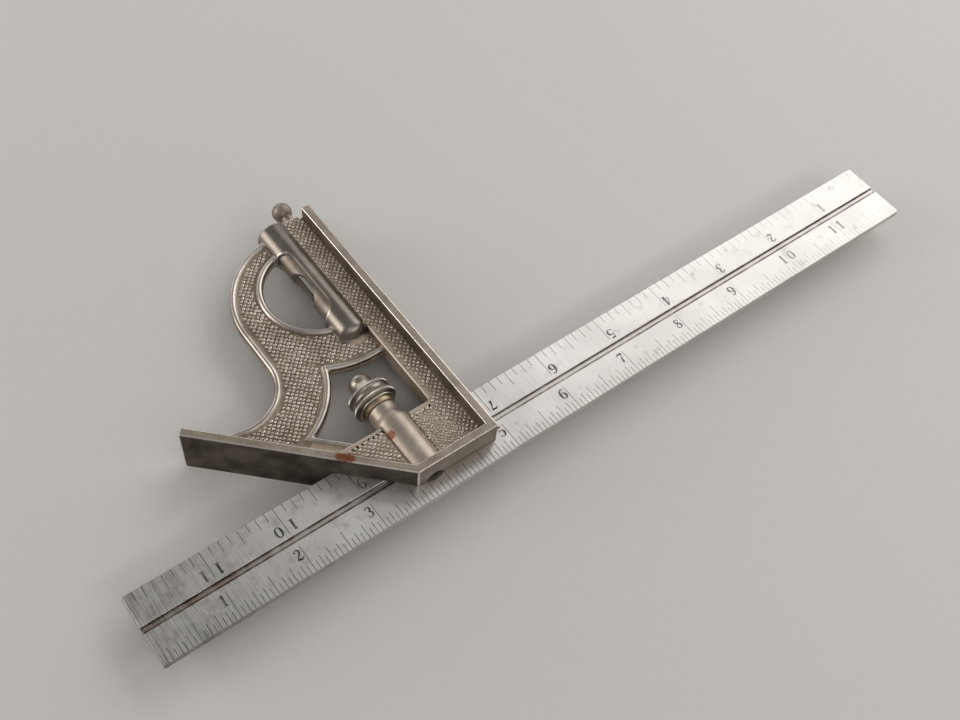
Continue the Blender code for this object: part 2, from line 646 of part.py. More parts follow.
def level():
    """The level's pieces, from the tube inwards, and the plug behind them."""
    floor = BARREL_BOTTOM + BARREL_DOME + BARREL_FLOOR + SEAT_GAP
    plug_base = BARREL_TOP - PLUG_LENGTH
    tube_top = plug_base - SEAT_GAP
    vial_low = SIGHT_CENTRE_Y - VIAL_LENGTH / 2
    vial_high = SIGHT_CENTRE_Y + VIAL_LENGTH / 2

    tube = ring("level_tube", TUBE_BORE, TUBE_RADIUS, floor, tube_top, BARREL_X)
    scoop_x = BARREL_X - TUBE_RADIUS + SCOOP_DEPTH - SCOOP_RADIUS
    turn = math.acos(1 - 2 * SCOOP_DEPTH / SCOOP_RADIUS)  # its ends are clear of the tube
    scoop = prism("scoop", arc((scoop_x, SIGHT_CENTRE_Y), SCOOP_RADIUS, -turn, turn), -BEYOND, BEYOND)
    boolean(tube, "DIFFERENCE", scoop)
    paint(tube, (0.36, 0.33, 0.30), 0.35, 1.0)

    glass_bore = VIAL_RADIUS - VIAL_WALL
    paint(ring("level_vial", glass_bore, VIAL_RADIUS, vial_low, vial_high, BARREL_X), (0.5, 0.5, 0.45), 0.05, 0.0, 0.4)

    spirit_radius = glass_bore - FIT
    spirit = disc("vial_spirit", spirit_radius, vial_low, vial_high, BARREL_X)
    shape = bmesh.new()
    bmesh.ops.create_icosphere(shape, subdivisions=3, radius=1.0)
    size = (spirit_radius * 0.7, BUBBLE_LENGTH / 2, BUBBLE_DEPTH)
    bmesh.ops.transform(shape, matrix=Matrix.Diagonal((*size, 1.0)), verts=shape.verts)
    bubble = finish("bubble", shape, (BARREL_X, SIGHT_CENTRE_Y, spirit_radius))
    boolean(spirit, "DIFFERENCE", bubble)
    paint(spirit, (0.30, 0.26, 0.12), 0.1, 0.0, 0.6)

    for name, low, high in (
        ("vial_bed_lower", floor, vial_low - SEAT_GAP),
        ("vial_bed_upper", vial_high + SEAT_GAP, tube_top),
    ):
        paint(disc(name, VIAL_RADIUS, low, high, BARREL_X), (0.7, 0.68, 0.62), 0.8, 0.0)
    paint(disc("barrel_plug", TUBE_RADIUS, plug_base, BARREL_TOP, BARREL_X), (0.33, 0.30, 0.28), 0.4, 1.0)


def scriber():
    """The scriber's pin and ball, and the split bush that grips them."""
    tip = BALL_CENTRE_Y - SCRIBER_LENGTH
    stem_base = STRIP_TOP + SEAT_GAP
    pin_top = BALL_CENTRE_Y
    pin = lathe(
        "scriber_pin",
        [(0, tip), (SCRIBER_RADIUS / 4, tip + SEAT_GAP), (SCRIBER_RADIUS, tip + SCRIBER_TAPER),
         (SCRIBER_RADIUS, pin_top), (0, pin_top)],
        (SCRIBER_X, 0, 0),
        steps=SMALL_ROUND,
    )
    paint(pin, (0.45, 0.44, 0.43), 0.3, 1.0)

    start = math.asin(SCRIBER_STEM_RADIUS / SCRIBER_BALL_RADIUS)
    globe = [
        (SCRIBER_BALL_RADIUS * math.sin(a), BALL_CENTRE_Y - SCRIBER_BALL_RADIUS * math.cos(a))
        for a in (start + (math.pi - start) * i / 9 for i in range(9))
    ]
    socket_end = pin_top + SEAT_GAP
    profile = [
        (0, socket_end),
        (BUSH_BORE, socket_end),
        (BUSH_BORE, stem_base),
        (SCRIBER_STEM_RADIUS, stem_base),
        *globe,
        (0, BALL_CENTRE_Y + SCRIBER_BALL_RADIUS),
    ]
    ball = lathe("scriber_ball", profile, (SCRIBER_X, 0, 0), steps=SMALL_ROUND + 4)
    paint(ball, (0.38, 0.35, 0.32), 0.3, 1.0)

    bush = ring(
        "scriber_bush", BUSH_BORE, BUSH_RADIUS, STRIP_TOP - BUSH_LENGTH, STRIP_TOP, SCRIBER_X, steps=SMALL_ROUND
    )
    split = box(
        "bush_split",
        (SCRIBER_X - BUSH_SPLIT / 2, STRIP_TOP - BUSH_LENGTH - BEYOND, 0),
        (SCRIBER_X + BUSH_SPLIT / 2, STRIP_TOP + BEYOND, BEYOND),
    )
    boolean(bush, "DIFFERENCE", split)
    paint(bush, (0.62, 0.48, 0.22), 0.4, 1.0)


def main():
    """Builds every piece and stands the square on the world's origin."""
    clear_scene()
    head()
    blade()
    lock_bolt()
    lock_nut()
    nut_washer()
    lock_spring()
    level()
    scriber()
    frame = bpy.data.objects.new("square_frame", None)
    middle_x = BLADE_LENGTH / 2 - BLADE_SET
    middle_y = (BALL_CENTRE_Y + SCRIBER_BALL_RADIUS - BLADE_WIDTH) / 2
    frame.location = (-middle_x, -middle_y, HEAD_WIDTH / 2)
    bpy.context.collection.objects.link(frame)
    for obj in bpy.data.objects:
        if obj is not frame:
            obj.parent = frame


main()
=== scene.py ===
"""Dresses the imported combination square: a cast head, an engraved rule, a clamp, a level and a scriber.

Shapes are modelled in the square's own frame, in metres: x along the rule with 0 on the 90 degree face,
y across the rule with 0 on its seated edge, z up with 0 on the head's middle plane.
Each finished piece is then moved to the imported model's frame, with its place in its mesh.
"""

import logging
import math
from contextlib import contextmanager
from dataclasses import dataclass
from enum import Enum
from typing import Callable, Iterator, Sequence

import bpy
import numpy as np
from mathutils import Euler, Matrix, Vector

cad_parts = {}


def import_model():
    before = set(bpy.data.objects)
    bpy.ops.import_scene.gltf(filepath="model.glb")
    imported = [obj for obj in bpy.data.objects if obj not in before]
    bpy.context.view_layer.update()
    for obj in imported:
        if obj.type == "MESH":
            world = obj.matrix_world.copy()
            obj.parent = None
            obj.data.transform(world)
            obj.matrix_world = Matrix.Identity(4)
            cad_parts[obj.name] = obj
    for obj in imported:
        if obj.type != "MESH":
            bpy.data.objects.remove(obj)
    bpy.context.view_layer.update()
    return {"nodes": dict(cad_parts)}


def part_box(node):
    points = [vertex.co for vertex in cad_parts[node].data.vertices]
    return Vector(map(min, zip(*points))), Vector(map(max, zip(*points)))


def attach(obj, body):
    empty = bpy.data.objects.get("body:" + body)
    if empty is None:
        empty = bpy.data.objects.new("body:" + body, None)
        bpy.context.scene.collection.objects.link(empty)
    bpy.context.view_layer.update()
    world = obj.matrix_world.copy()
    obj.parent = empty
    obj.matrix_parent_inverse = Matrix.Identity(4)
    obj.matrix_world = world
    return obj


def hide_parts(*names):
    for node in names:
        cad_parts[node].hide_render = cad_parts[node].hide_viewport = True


log = logging.getLogger("combination_square")

MM = 0.001
INCH = 25.4 * MM
QUARTER = math.pi / 2
DIAGONAL = math.sqrt(2)
Point = tuple[float, float]
Blemish = tuple[float, float, float, float]
Piece = bpy.types.Object
Material = bpy.types.Material
Socket = bpy.types.NodeSocket


class Face(Enum):
    """The two faces of the head, by the sign of their normal."""

    UPPER = 1
    LOWER = -1


# Colours and nodes


def linear(hex_colour: str) -> tuple[float, float, float, float]:
    """Turns an sRGB hex value into linear red, green, blue and a full alpha."""
    digits = hex_colour.lstrip("#")
    shares = (int(digits[i : i + 2], 16) / 255 for i in (0, 2, 4))
    red, green, blue = (s / 12.92 if s <= 0.04045 else ((s + 0.055) / 1.055) ** 2.4 for s in shares)
    return red, green, blue, 1.0


class Nodes:
    """A new material's node tree, with a short call for each kind of node that the finishes use."""

    def __init__(self, name: str) -> None:
        """Starts the material, and reads a piece's own coordinates in metres and in millimetres."""
        self.material = bpy.data.materials.new(name)
        self.material.use_nodes = True
        self.tree = self.material.node_tree
        self.place = self.put("ShaderNodeTexCoord").outputs["Object"]
        scaled = {0: self.place, "Scale": 1 / MM}
        self.place_mm = self.put("ShaderNodeVectorMath", scaled, operation="SCALE").outputs[0]

    def feed(self, node: bpy.types.Node, inputs: dict) -> None:
        """Links sockets to a node's inputs, or sets values there, by input name or number."""
        for key, value in inputs.items():
            if isinstance(value, Socket):
                self.tree.links.new(value, node.inputs[key])
            else:
                node.inputs[key].default_value = value

    def put(self, kind: str, inputs: dict | None = None, **settings: object) -> bpy.types.Node:
        """Adds a node.

        Args:
            kind: the node's type.
            inputs: sockets to link or values to set, by input name or number.
            settings: the node's own properties.

        Returns:
            The new node.
        """
        node = self.tree.nodes.new(kind)
        for key, value in settings.items():
            setattr(node, key, value)
        self.feed(node, inputs or {})
        return node

    def noise(self, size_mm: float, detail: float, roughness: float = 0.5) -> Socket:
        """Noise in blots of about that size."""
        inputs = {"Vector": self.place_mm, "Scale": 1 / size_mm, "Detail": detail, "Roughness": roughness}
        return self.put("ShaderNodeTexNoise", inputs).outputs["Fac"]

    def streaks(self, scale: tuple[float, float, float], roughness: float = 0.5) -> Socket:
        """Noise drawn out into streaks, with that many steps to a millimetre along x, y and z."""
        spread = self.put("ShaderNodeMapping", {"Vector": self.place_mm, "Scale": scale}).outputs[0]
        inputs = {"Vector": spread, "Scale": 1.0, "Detail": 3.0, "Roughness": roughness}
        return self.put("ShaderNodeTexNoise", inputs).outputs["Fac"]

    def fit(self, value: Socket, start: float, end: float, low: float = 0.0, high: float = 1.0) -> Socket:
        """Maps a value's stretch onto another and holds it there beyond.

        Args:
            value: the socket to read.
            start: the value that gives low.
            end: the value that gives high.
            low: the level at the start.
            high: the level at the end.

        Returns:
            The new value's socket.
        """
        inputs = {"Value": value, "From Min": start, "From Max": end, "To Min": low, "To Max": high}
        return self.put("ShaderNodeMapRange", inputs).outputs[0]

    def work(self, operation: str, *terms: Socket | float, clamped: bool = False) -> Socket:
        """One step of arithmetic on values."""
        node = self.put("ShaderNodeMath", dict(enumerate(terms)), operation=operation, use_clamp=clamped)
        return node.outputs[0]

    def mix(
        self, share: Socket | float, first: Socket | str, second: Socket | str, blend: str = "MIX"
    ) -> Socket:
        """Blends two colours, each a socket or a hex value, by the second one's share."""
        ends = (linear(end) if isinstance(end, str) else end for end in (first, second))
        inputs = {"Factor": share, **dict(zip("AB", ends))}
        return self.put("ShaderNodeMix", inputs, data_type="RGBA", blend_type=blend).outputs["Result"]

    def ramp(self, value: Socket, stops: Sequence[Point]) -> Socket:
        """Turns a value from 0 to 1 into another, along straight stretches between stops.

        Args:
            value: the socket to read.
            stops: places from 0 to 1, each with the level there.

        Returns:
            The new value's socket.
        """
        node = self.put("ShaderNodeValToRGB", {0: value})
        marks = node.color_ramp.elements
        for place, _ in stops[2:]:
            marks.new(place)
        for mark, (place, level) in zip(marks, stops):
            mark.position = place
            mark.color = (level, level, level, 1.0)
        return node.outputs["Color"]

    def stored(self, name: str) -> Socket:
        """A value that a piece's mesh carries under that name."""
        return self.put("ShaderNodeAttribute", attribute_name=name).outputs["Fac"]

    def bump(self, height: Socket, strength: Socket | float, distance: float) -> Socket:
        """Normals that follow a fine unevenness."""
        inputs = {"Height": height, "Strength": strength, "Distance": distance}
        return self.put("ShaderNodeBump", inputs).outputs[0]

    def finish(self, inputs: dict) -> Material:
        """Feeds the shader and hands over the material."""
        self.feed(self.tree.nodes["Principled BSDF"], inputs)
        return self.material


# The modelling bench


def deselect() -> None:
    """Leaves nothing selected, in object mode."""
    if bpy.context.object and bpy.context.object.mode != "OBJECT":
        bpy.ops.object.mode_set(mode="OBJECT")
    bpy.ops.object.select_all(action="DESELECT")


def choose(*pieces: Piece) -> None:
    """Selects these pieces alone and makes the first one active."""
    deselect()
    for piece in pieces:
        piece.select_set(True)
    bpy.context.view_layer.objects.active = pieces[0]


@contextmanager
def editing() -> Iterator[None]:
    """Edit mode on the active piece, with all of it selected."""
    bpy.ops.object.mode_set(mode="EDIT")
    bpy.ops.mesh.select_all(action="SELECT")
    yield
    bpy.ops.object.mode_set(mode="OBJECT")


def close_up() -> None:
    """In edit mode, merges doubles, drops loose edges and turns all faces outwards."""
    bpy.ops.mesh.select_all(action="SELECT")
    bpy.ops.mesh.remove_doubles(threshold=0.0005 * MM)
    bpy.ops.mesh.delete_loose()
    bpy.ops.mesh.select_all(action="SELECT")
    bpy.ops.mesh.normals_make_consistent(inside=False)


def outline(name: str, points: Sequence[Sequence[float]], filled: bool) -> Piece:
    """A ring of edges through points in space.

    Args:
        name: the object's name.
        points: the ring's points, as x, y, z.
        filled: whether a face spans the ring.

    Returns:
        The ring, from a circle primitive.
    """
    deselect()
    fill = "NGON" if filled else "NOTHING"
    bpy.ops.mesh.primitive_circle_add(vertices=len(points), radius=MM, fill_type=fill)
    ring = bpy.context.object
    ring.name = ring.data.name = name
    ring.data.vertices.foreach_set("co", np.array([tuple(p) for p in points], np.float32).ravel())
    ring.data.update()
    return ring


def drawn(name: str, ring: Sequence[Sequence[float]], way: Sequence[float]) -> Piece:
    """A flat outline in space, drawn out along a way into a closed solid."""
    solid = outline(name, ring, filled=True)
    with editing():
        bpy.ops.mesh.extrude_region_move(TRANSFORM_OT_translate={"value": way})
        close_up()
    return solid


def plate(name: str, points: Sequence[Point], low: float, high: float) -> Piece:
    """An outline in the square's plane, drawn out between two heights."""
    return drawn(name, [(x, y, low) for x, y in points], (0, 0, high - low))


def turned(name: str, profile: Sequence[Point], x: float, steps: int = 96) -> Piece:
    """A profile spun about an axis along y.

    Args:
        name: the object's name.
        profile: radius and y of each point; it is closed from its last point to its first.
        x: the axis's place.
        steps: facets round the axis.

    Returns:
        The turned shape.
    """
    piece = outline(name, [(x + radius, y, 0) for radius, y in profile], filled=False)
    with editing():
        bpy.ops.mesh.spin(steps=steps, angle=2 * math.pi, center=(x, 0, 0), axis=(0, 1, 0))
        close_up()
    return piece


def drill(name: str, x: float, start: float, *steps: Point, facets: int = 96) -> Piece:
    """Cutter for a stepped bore along y.

    Args:
        name: the object's name.
        x: the axis's place.
        start: where the bore begins.
        steps: the radius of each step, and the y that it ends at.
        facets: facets round the axis.

    Returns:
        The closed cutter.
    """
    profile = [(0, start)]
    for radius, end in steps:
        profile += [(radius, profile[-1][1]), (radius, end)]
    return turned(name, [*profile, (0, profile[-1][1])], x, facets)


def rod(name: str, path: Sequence[Point], half_width: float, flank: float, rise: float) -> Piece:
    """A round-topped bar along a path in the square's plane.

    Args:
        name: the object's name.
        path: the bar's middle line.
        half_width: half its width.
        flank: half the height of its upright sides.
        rise: the height of its round top above the sides.

    Returns:
        The bar as a mesh, with closed ends.
    """
    turns = [math.pi * i / 12 for i in range(13)]
    upper = [(half_width * math.cos(a), flank + rise * math.sin(a)) for a in turns]
    section = upper + [(x, -y) for x, y in reversed(upper)]
    curves = []
    for label, points, cyclic in ((f"{name}_section", section, True), (name, path, False)):
        data = bpy.data.curves.new(label, "CURVE")
        data.dimensions = "3D"
        data.twist_mode = "Z_UP"
        spline = data.splines.new("POLY")
        spline.points.add(len(points) - 1)
        spline.points.foreach_set("co", [c for x, y in points for c in (x, y, 0, 1)])
        spline.use_cyclic_u = cyclic
        curve = bpy.data.objects.new(label, data)
        bpy.context.scene.collection.objects.link(curve)
        curves.append(curve)
    shape, bar = curves
    bar.data.bevel_mode = "OBJECT"
    bar.data.bevel_object = shape
    bar.data.use_fill_caps = True
    choose(bar)
    bpy.ops.object.convert(target="MESH")
    with editing():
        close_up()
    bpy.data.objects.remove(shape)
    return bar


def apply(piece: Piece, kind: str, **settings: object) -> None:
    """Adds a modifier to a piece and applies it at once."""
    choose(piece)
    modifier = piece.modifiers.new(kind.lower(), kind)
    for key, value in settings.items():
        setattr(modifier, key, value)
    bpy.ops.object.modifier_apply(modifier=modifier.name)


def cut(piece: Piece, *tools: Piece) -> None:
    """Cuts closed tools out of a closed piece and removes the tools."""
    for tool in tools:
        apply(piece, "BOOLEAN", operation="DIFFERENCE", solver="MANIFOLD", object=tool)
        bpy.data.objects.remove(tool)


def join(name: str, *pieces: Piece) -> Piece:
    """Joins pieces into one object of that name."""
    choose(*pieces)
    bpy.ops.object.join()
    whole = bpy.context.object
    whole.name = whole.data.name = name
    return whole


def ease(piece: Piece, width: float) -> None:
    """Rounds a piece's edges that are sharper than 30 degrees."""
    apply(piece, "BEVEL", width=width, segments=3, limit_method="ANGLE", angle_limit=math.radians(30))


def smooth(piece: Piece, angle: float) -> None:
    """Shades a piece smooth, with edges above an angle in degrees left sharp."""
    choose(piece)
    bpy.ops.object.shade_smooth_by_angle(angle=math.radians(angle))


def keep_flat(piece: Piece) -> None:
    """Lets large flat faces keep their own normals beside eased edges."""
    apply(piece, "WEIGHTED_NORMAL", keep_sharp=True)


def arc(centre: Point, radius: float, start: float, end: float, step: float = 1.5) -> list[Point]:
    """Points along an arc.

    Args:
        centre: the arc's centre.
        radius: its radius.
        start: its first angle, in radians.
        end: its last angle, in radians.
        step: the most degrees between two points.

    Returns:
        The points, both ends included.
    """
    count = max(2, math.ceil(abs(end - start) / math.radians(step)))
    turns = (start + (end - start) * i / count for i in range(count + 1))
    return [(centre[0] + radius * math.cos(a), centre[1] + radius * math.sin(a)) for a in turns]


def run_on(path: Sequence[Point], start: float, end: float) -> list[Point]:
    """Carries a path straight on past its first and last points by these lengths."""
    first, second, before, last = (Vector(path[i]) for i in (0, 1, -2, -1))
    head = first + (first - second).normalized() * start
    tail = last + (last - before).normalized() * end
    return [tuple(head), *path, tuple(tail)]


def spots_of(piece: Piece) -> np.ndarray:
    """A piece's vertices, one to a row."""
    spots = np.empty(len(piece.data.vertices) * 3, np.float32)
    piece.data.vertices.foreach_get("co", spots)
    return spots.reshape(-1, 3)


def move_spots(piece: Piece, spots: np.ndarray) -> None:
    """Puts a piece's vertices at new places."""
    piece.data.vertices.foreach_set("co", spots.ravel())
    piece.data.update()


def store(piece: Piece, name: str, values: np.ndarray, domain: str = "POINT") -> None:
    """Stores a value at each of a mesh's points or corners, for its material to read."""
    layer = piece.data.attributes.new(name, "FLOAT", domain)
    layer.data.foreach_set("value", values.astype(np.float32))


def dress(piece: Piece, *materials: Material) -> Piece:
    """Gives a piece these materials alone, in the order that its faces count them, and hands it on."""
    piece.data.materials.clear()
    for material in materials:
        piece.data.materials.append(material)
    return piece


def relief_of(piece: Piece, reach: float) -> np.ndarray:
    """How far each point stands proud of its neighbours, from -1 in hollows to 1 on crests.

    Args:
        piece: an evenly meshed piece.
        reach: the radius of curvature that counts as a full crest, in metres.

    Returns:
        A value for each vertex.
    """
    mesh = piece.data
    spots = spots_of(piece).astype(float)
    count = len(spots)
    normals = np.empty(count * 3, np.float32)
    mesh.vertex_normals.foreach_get("vector", normals)
    normals = normals.reshape(-1, 3).astype(float)
    pairs = np.empty(len(mesh.edges) * 2, np.int32)
    mesh.edges.foreach_get("vertices", pairs)
    first, second = pairs.reshape(-1, 2).T
    step = spots[second] - spots[first]
    length = np.maximum((step**2).sum(1), 1e-14)
    bend = np.zeros(count)
    degree = np.zeros(count)
    np.add.at(bend, first, -(step * normals[first]).sum(1) / length)
    np.add.at(bend, second, (step * normals[second]).sum(1) / length)
    np.add.at(degree, first, 1.0)
    np.add.at(degree, second, 1.0)
    bend = 2 * bend / np.maximum(degree, 1) * reach
    for _ in range(3):
        total = bend.copy()
        np.add.at(total, first, bend[second])
        np.add.at(total, second, bend[first])
        bend = total / (degree + 1)
    return np.clip(bend, -1, 1).astype(np.float32)


# Finishes


@dataclass(frozen=True)
class CastNickel:
    """Nickel plate worn thin over sand-cast iron: a matt warm grey with a fine sandy grain, smooth where
    hands rub its beads and edges, painted light on crests as highlight and wear, dark brown in hollows as
    shade and old oil."""

    name: str = "nickelled_cast_iron"
    plate_light: str = "#bfb6ac"
    plate_dark: str = "#9d9389"
    tan: str = "#c4af96"
    # Light tone for crests and edges: part wear, part painted highlight.
    worn: str = "#e2dbd2"
    patina: str = "#5f5850"
    # Dark brown for hollows and the flats between dots: painted shade with some old oil.
    grease: str = "#332922"
    rust: str = "#7a4427"
    soot: str = "#625d55"
    cloud_mm: float = 9.0
    grain_mm: float = 0.45
    matt: float = 0.56
    polished: float = 0.18
    rust_spots: tuple[Blemish, ...] = ()
    soot_spots: tuple[Blemish, ...] = ()

    def make(self) -> Material:
        """Builds the material, which reads a casting's relief, floor and polish."""
        nodes = Nodes(self.name)
        cloud, grain = nodes.noise(self.cloud_mm, 6.0), nodes.noise(self.grain_mm, 3.0)
        relief, floor, polish = (nodes.stored(name) for name in ("relief", "floor", "polish"))
        colour = nodes.mix(nodes.fit(cloud, 0.36, 0.64), self.plate_dark, self.plate_light)
        colour = nodes.mix(nodes.fit(polish, 0.5, 0.0, high=0.8), colour, self.tan)
        aged = nodes.ramp(
            polish, ((0.0, 0.0), (0.63, 0.0), (0.68, 0.57), (0.72, 0.57), (0.77, 0.0), (1.0, 0.0))
        )
        colour = nodes.mix(aged, colour, self.patina)
        colour = nodes.mix(1.0, colour, nodes.fit(grain, 0.35, 0.68, 0.82, 1.15), "MULTIPLY")
        # Painted highlight with some wear: crests and edges turn towards the light tone, in patches.
        rubbed = nodes.fit(cloud, 0.3, 0.5, low=0.45)
        crest = nodes.work("MULTIPLY", nodes.fit(relief, 0.2, 0.85, high=0.9), rubbed)
        colour = nodes.mix(crest, colour, self.worn)
        # Painted shade with some old oil: hollows, the flats between dots, beads' feet and flaws turn dark
        # brown.
        between = nodes.work("MULTIPLY", floor, 0.66)
        oil_and_shade_share = nodes.work("MAXIMUM", nodes.fit(relief, -0.12, -0.8), between)
        oil_and_shade_share = nodes.work("MULTIPLY", oil_and_shade_share, nodes.fit(cloud, 0.3, 0.6, 0.95, 0.72))
        colour = nodes.mix(oil_and_shade_share, colour, self.grease)
        # Rust spots, and darker patches on the boss's shoulder where it turns into the neck.
        stains = ((self.rust_spots, self.rust, 0.9), (self.soot_spots, self.soot, 0.45))
        for blemishes, shade, depth in stains:
            for *centre, size in blemishes:
                ends = {0: nodes.place_mm, 1: centre}
                gap = nodes.put("ShaderNodeVectorMath", ends, operation="DISTANCE").outputs["Value"]
                ragged = nodes.work("MULTIPLY_ADD", grain, size * 1.4, gap)
                colour = nodes.mix(nodes.fit(ragged, size * 1.35, size * 1.75, depth, 0.0), colour, shade)
        smoothed = nodes.work("MAXIMUM", crest, polish)
        rough = nodes.fit(smoothed, 0.0, 1.0, self.matt, self.polished)
        for film, step in ((oil_and_shade_share, 0.2), (aged, 0.05)):
            rough = nodes.work("MULTIPLY_ADD", film, step, rough)
        return nodes.finish(
            {
                "Base Color": colour,
                "Roughness": rough,
                "Normal": nodes.bump(grain, nodes.fit(smoothed, 0.0, 1.0, 0.55, 0.08), 0.05 * MM),
                "Metallic": nodes.fit(smoothed, 0.0, 0.6, 0.55, 0.95),
            }
        )


@dataclass(frozen=True)
class GroundSteel:
    """Ground rule steel: a pale silver satin with fine marks across its width from the grinder,
    grey stains from damp hands and a brown film in its groove, painted darker along its walls as shade."""

    name: str = "ground_rule_steel"
    clean: str = "#e6e3df"
    dull: str = "#d0cdc9"
    stain: str = "#5d5a57"
    # Brown for the groove's film, also used as painted shade along the groove's walls.
    film: str = "#5b4636"
    mark_mm: float = 0.32  # finer in life; drawn as coarse as the picture can show
    cloud_mm: float = 14.0
    stain_mm: float = 5.0
    top: float = 0.0
    groove_y: float = 0.0
    groove_half: float = 1.15 * MM
    stained_end: float = 0.0

    def make(self) -> Material:
        """Builds the material, placed on the rule by its own coordinates."""
        nodes = Nodes(self.name)
        marks = nodes.streaks((1 / self.mark_mm, 0.09, 1.0), 0.6)
        cloud, blots = nodes.noise(self.cloud_mm, 4.0), nodes.noise(self.stain_mm, 6.0, 0.62)
        x, y, z = nodes.put("ShaderNodeSeparateXYZ", {0: nodes.place}).outputs
        near_end = nodes.fit(x, self.stained_end, self.stained_end + 110 * MM, 0.10, -0.05)
        aged = nodes.fit(x, self.stained_end, self.stained_end + 85 * MM, 0.45, 0.0)
        colour = nodes.mix(nodes.fit(nodes.work("ADD", marks, cloud), 0.7, 1.25), self.dull, self.clean)
        blot = nodes.fit(nodes.work("ADD", blots, near_end), 0.54, 0.8, high=0.55)
        streak = nodes.work("MULTIPLY", nodes.fit(marks, 0.36, 0.62, high=1.5), aged)
        for share in (blot, streak):
            colour = nodes.mix(share, colour, self.stain)
        across = nodes.work("SUBTRACT", y, self.groove_y)
        across = nodes.fit(across, -self.groove_half, self.groove_half)
        # The groove's film: darkest along both walls as painted shade, thin across its middle.
        lower_film_and_shade = ((0.0, 0.0), (0.05, 0.9), (0.36, 0.9), (0.44, 0.15))
        upper_film_and_shade = ((0.7, 0.15), (0.84, 0.5), (0.9, 0.95), (0.98, 0.9), (1.0, 0.0))
        inside = nodes.work("ADD", nodes.ramp(across, lower_film_and_shade + upper_film_and_shade), aged, clamped=True)
        film = nodes.work("MULTIPLY", inside, nodes.fit(z, self.top - 0.02 * MM, self.top - 0.25 * MM))
        film = nodes.work("MULTIPLY", film, nodes.fit(blots, 0.3, 0.55, low=0.55))
        rough = nodes.fit(marks, 0.3, 0.7, 0.3, 0.4)
        return nodes.finish(
            {
                "Base Color": nodes.mix(film, colour, self.film),
                "Roughness": nodes.work("MULTIPLY_ADD", blot, 0.18, rough),
                "Normal": nodes.bump(marks, 0.15, 0.02 * MM),
                "Tangent": nodes.put("ShaderNodeCombineXYZ", {"X": 1.0}).outputs[0],
                "Anisotropic": 0.8,
                "Metallic": 1.0,
            }
        )


@dataclass(frozen=True)
class TurnedMetal:
    """Metal turned on a lathe: fine rings round its axis, with handling wear and oily specks in soft patches;
    crests are painted light as highlight with some wear, and hollows dark as shade with some old oil.
    """

    name: str
    clean: str
    dull: str
    grime: str
    worn: str = "#ddd6cd"
    roughness: tuple[float, float] = (0.28, 0.42)
    ring_mm: float = 0.35
    cloud_mm: float = 4.0
    speck_mm: float = 1 / 1.4

    def make(self) -> Material:
        """Builds the material, whose rings lie across y."""
        nodes = Nodes(self.name)
        rings = nodes.streaks((0.08, 1 / self.ring_mm, 0.08))
        cloud, specks = nodes.noise(self.cloud_mm, 5.0), nodes.noise(self.speck_mm, 4.0)
        relief = nodes.stored("relief")
        colour = nodes.mix(nodes.fit(cloud, 0.32, 0.68), self.dull, self.clean)
        # Crests painted light as highlight with some wear; hollows painted dark as shade with some old oil.
        colour = nodes.mix(nodes.fit(relief, 0.12, 0.5, high=0.9), colour, self.worn)
        speck, hollow = nodes.fit(specks, 0.60, 0.74, high=0.6), nodes.fit(relief, -0.1, -0.6, high=0.8)
        return nodes.finish(
            {
                "Base Color": nodes.mix(nodes.work("MAXIMUM", speck, hollow), colour, self.grime),
                "Roughness": nodes.fit(rings, 0.3, 0.7, *self.roughness),
                "Normal": nodes.bump(rings, 0.2, 0.03 * MM),
                "Metallic": 1.0,
            }
        )


@dataclass(frozen=True)
class Clear:
    """A clear filling: vial glass or the spirit in it, faintly tinted, with a film in soft patches."""

    name: str
    tint: str
    film: str
    ior: float
    transmission: float
    roughness: float
    film_mm: float = 3.0

    def make(self) -> Material:
        """Builds the material."""
        nodes = Nodes(self.name)
        return nodes.finish(
            {
                "Base Color": nodes.mix(nodes.noise(self.film_mm, 3.0), self.tint, self.film),
                "IOR": self.ior,
                "Transmission Weight": self.transmission,
                "Roughness": self.roughness,
            }
        )


@dataclass(frozen=True)
class Matt:
    """A dull filling: chalky plaster, broken by small worn patches."""

    name: str
    colour: str
    worn: str
    patch_mm: float
    roughness: float

    def make(self) -> Material:
        """Builds the material."""
        nodes = Nodes(self.name)
        share = nodes.fit(nodes.noise(self.patch_mm, 4.0), 0.45, 0.75)
        colour = nodes.mix(share, self.colour, self.worn)
        return nodes.finish({"Base Color": colour, "Roughness": self.roughness})


@dataclass(frozen=True)
class Engraving:
    """Wax left in engraved lines: dull black where it is kept, and pale steel towards the rule's worn end."""

    name: str
    kept_x: float
    worn_x: float
    most_worn: float
    wax: str = "#26221f"
    bare: str = "#e6e3de"
    patch_mm: float = 2.5

    def make(self) -> Material:
        """Builds the material."""
        nodes = Nodes(self.name)
        x = nodes.put("ShaderNodeSeparateXYZ", {0: nodes.place}).outputs["X"]
        wear = nodes.fit(x, self.kept_x, self.worn_x, 0.05, self.most_worn)
        patch = nodes.fit(nodes.noise(self.patch_mm, 4.0), 0.35, 0.65, -0.08, 0.16)
        share = nodes.work("ADD", wear, patch, clamped=True)
        return nodes.finish(
            {
                "Base Color": nodes.mix(share, self.wax, self.bare),
                "Metallic": share,
                "Roughness": nodes.fit(share, 0.0, 1.0, 0.65, 0.34),
            }
        )


# The square's pieces


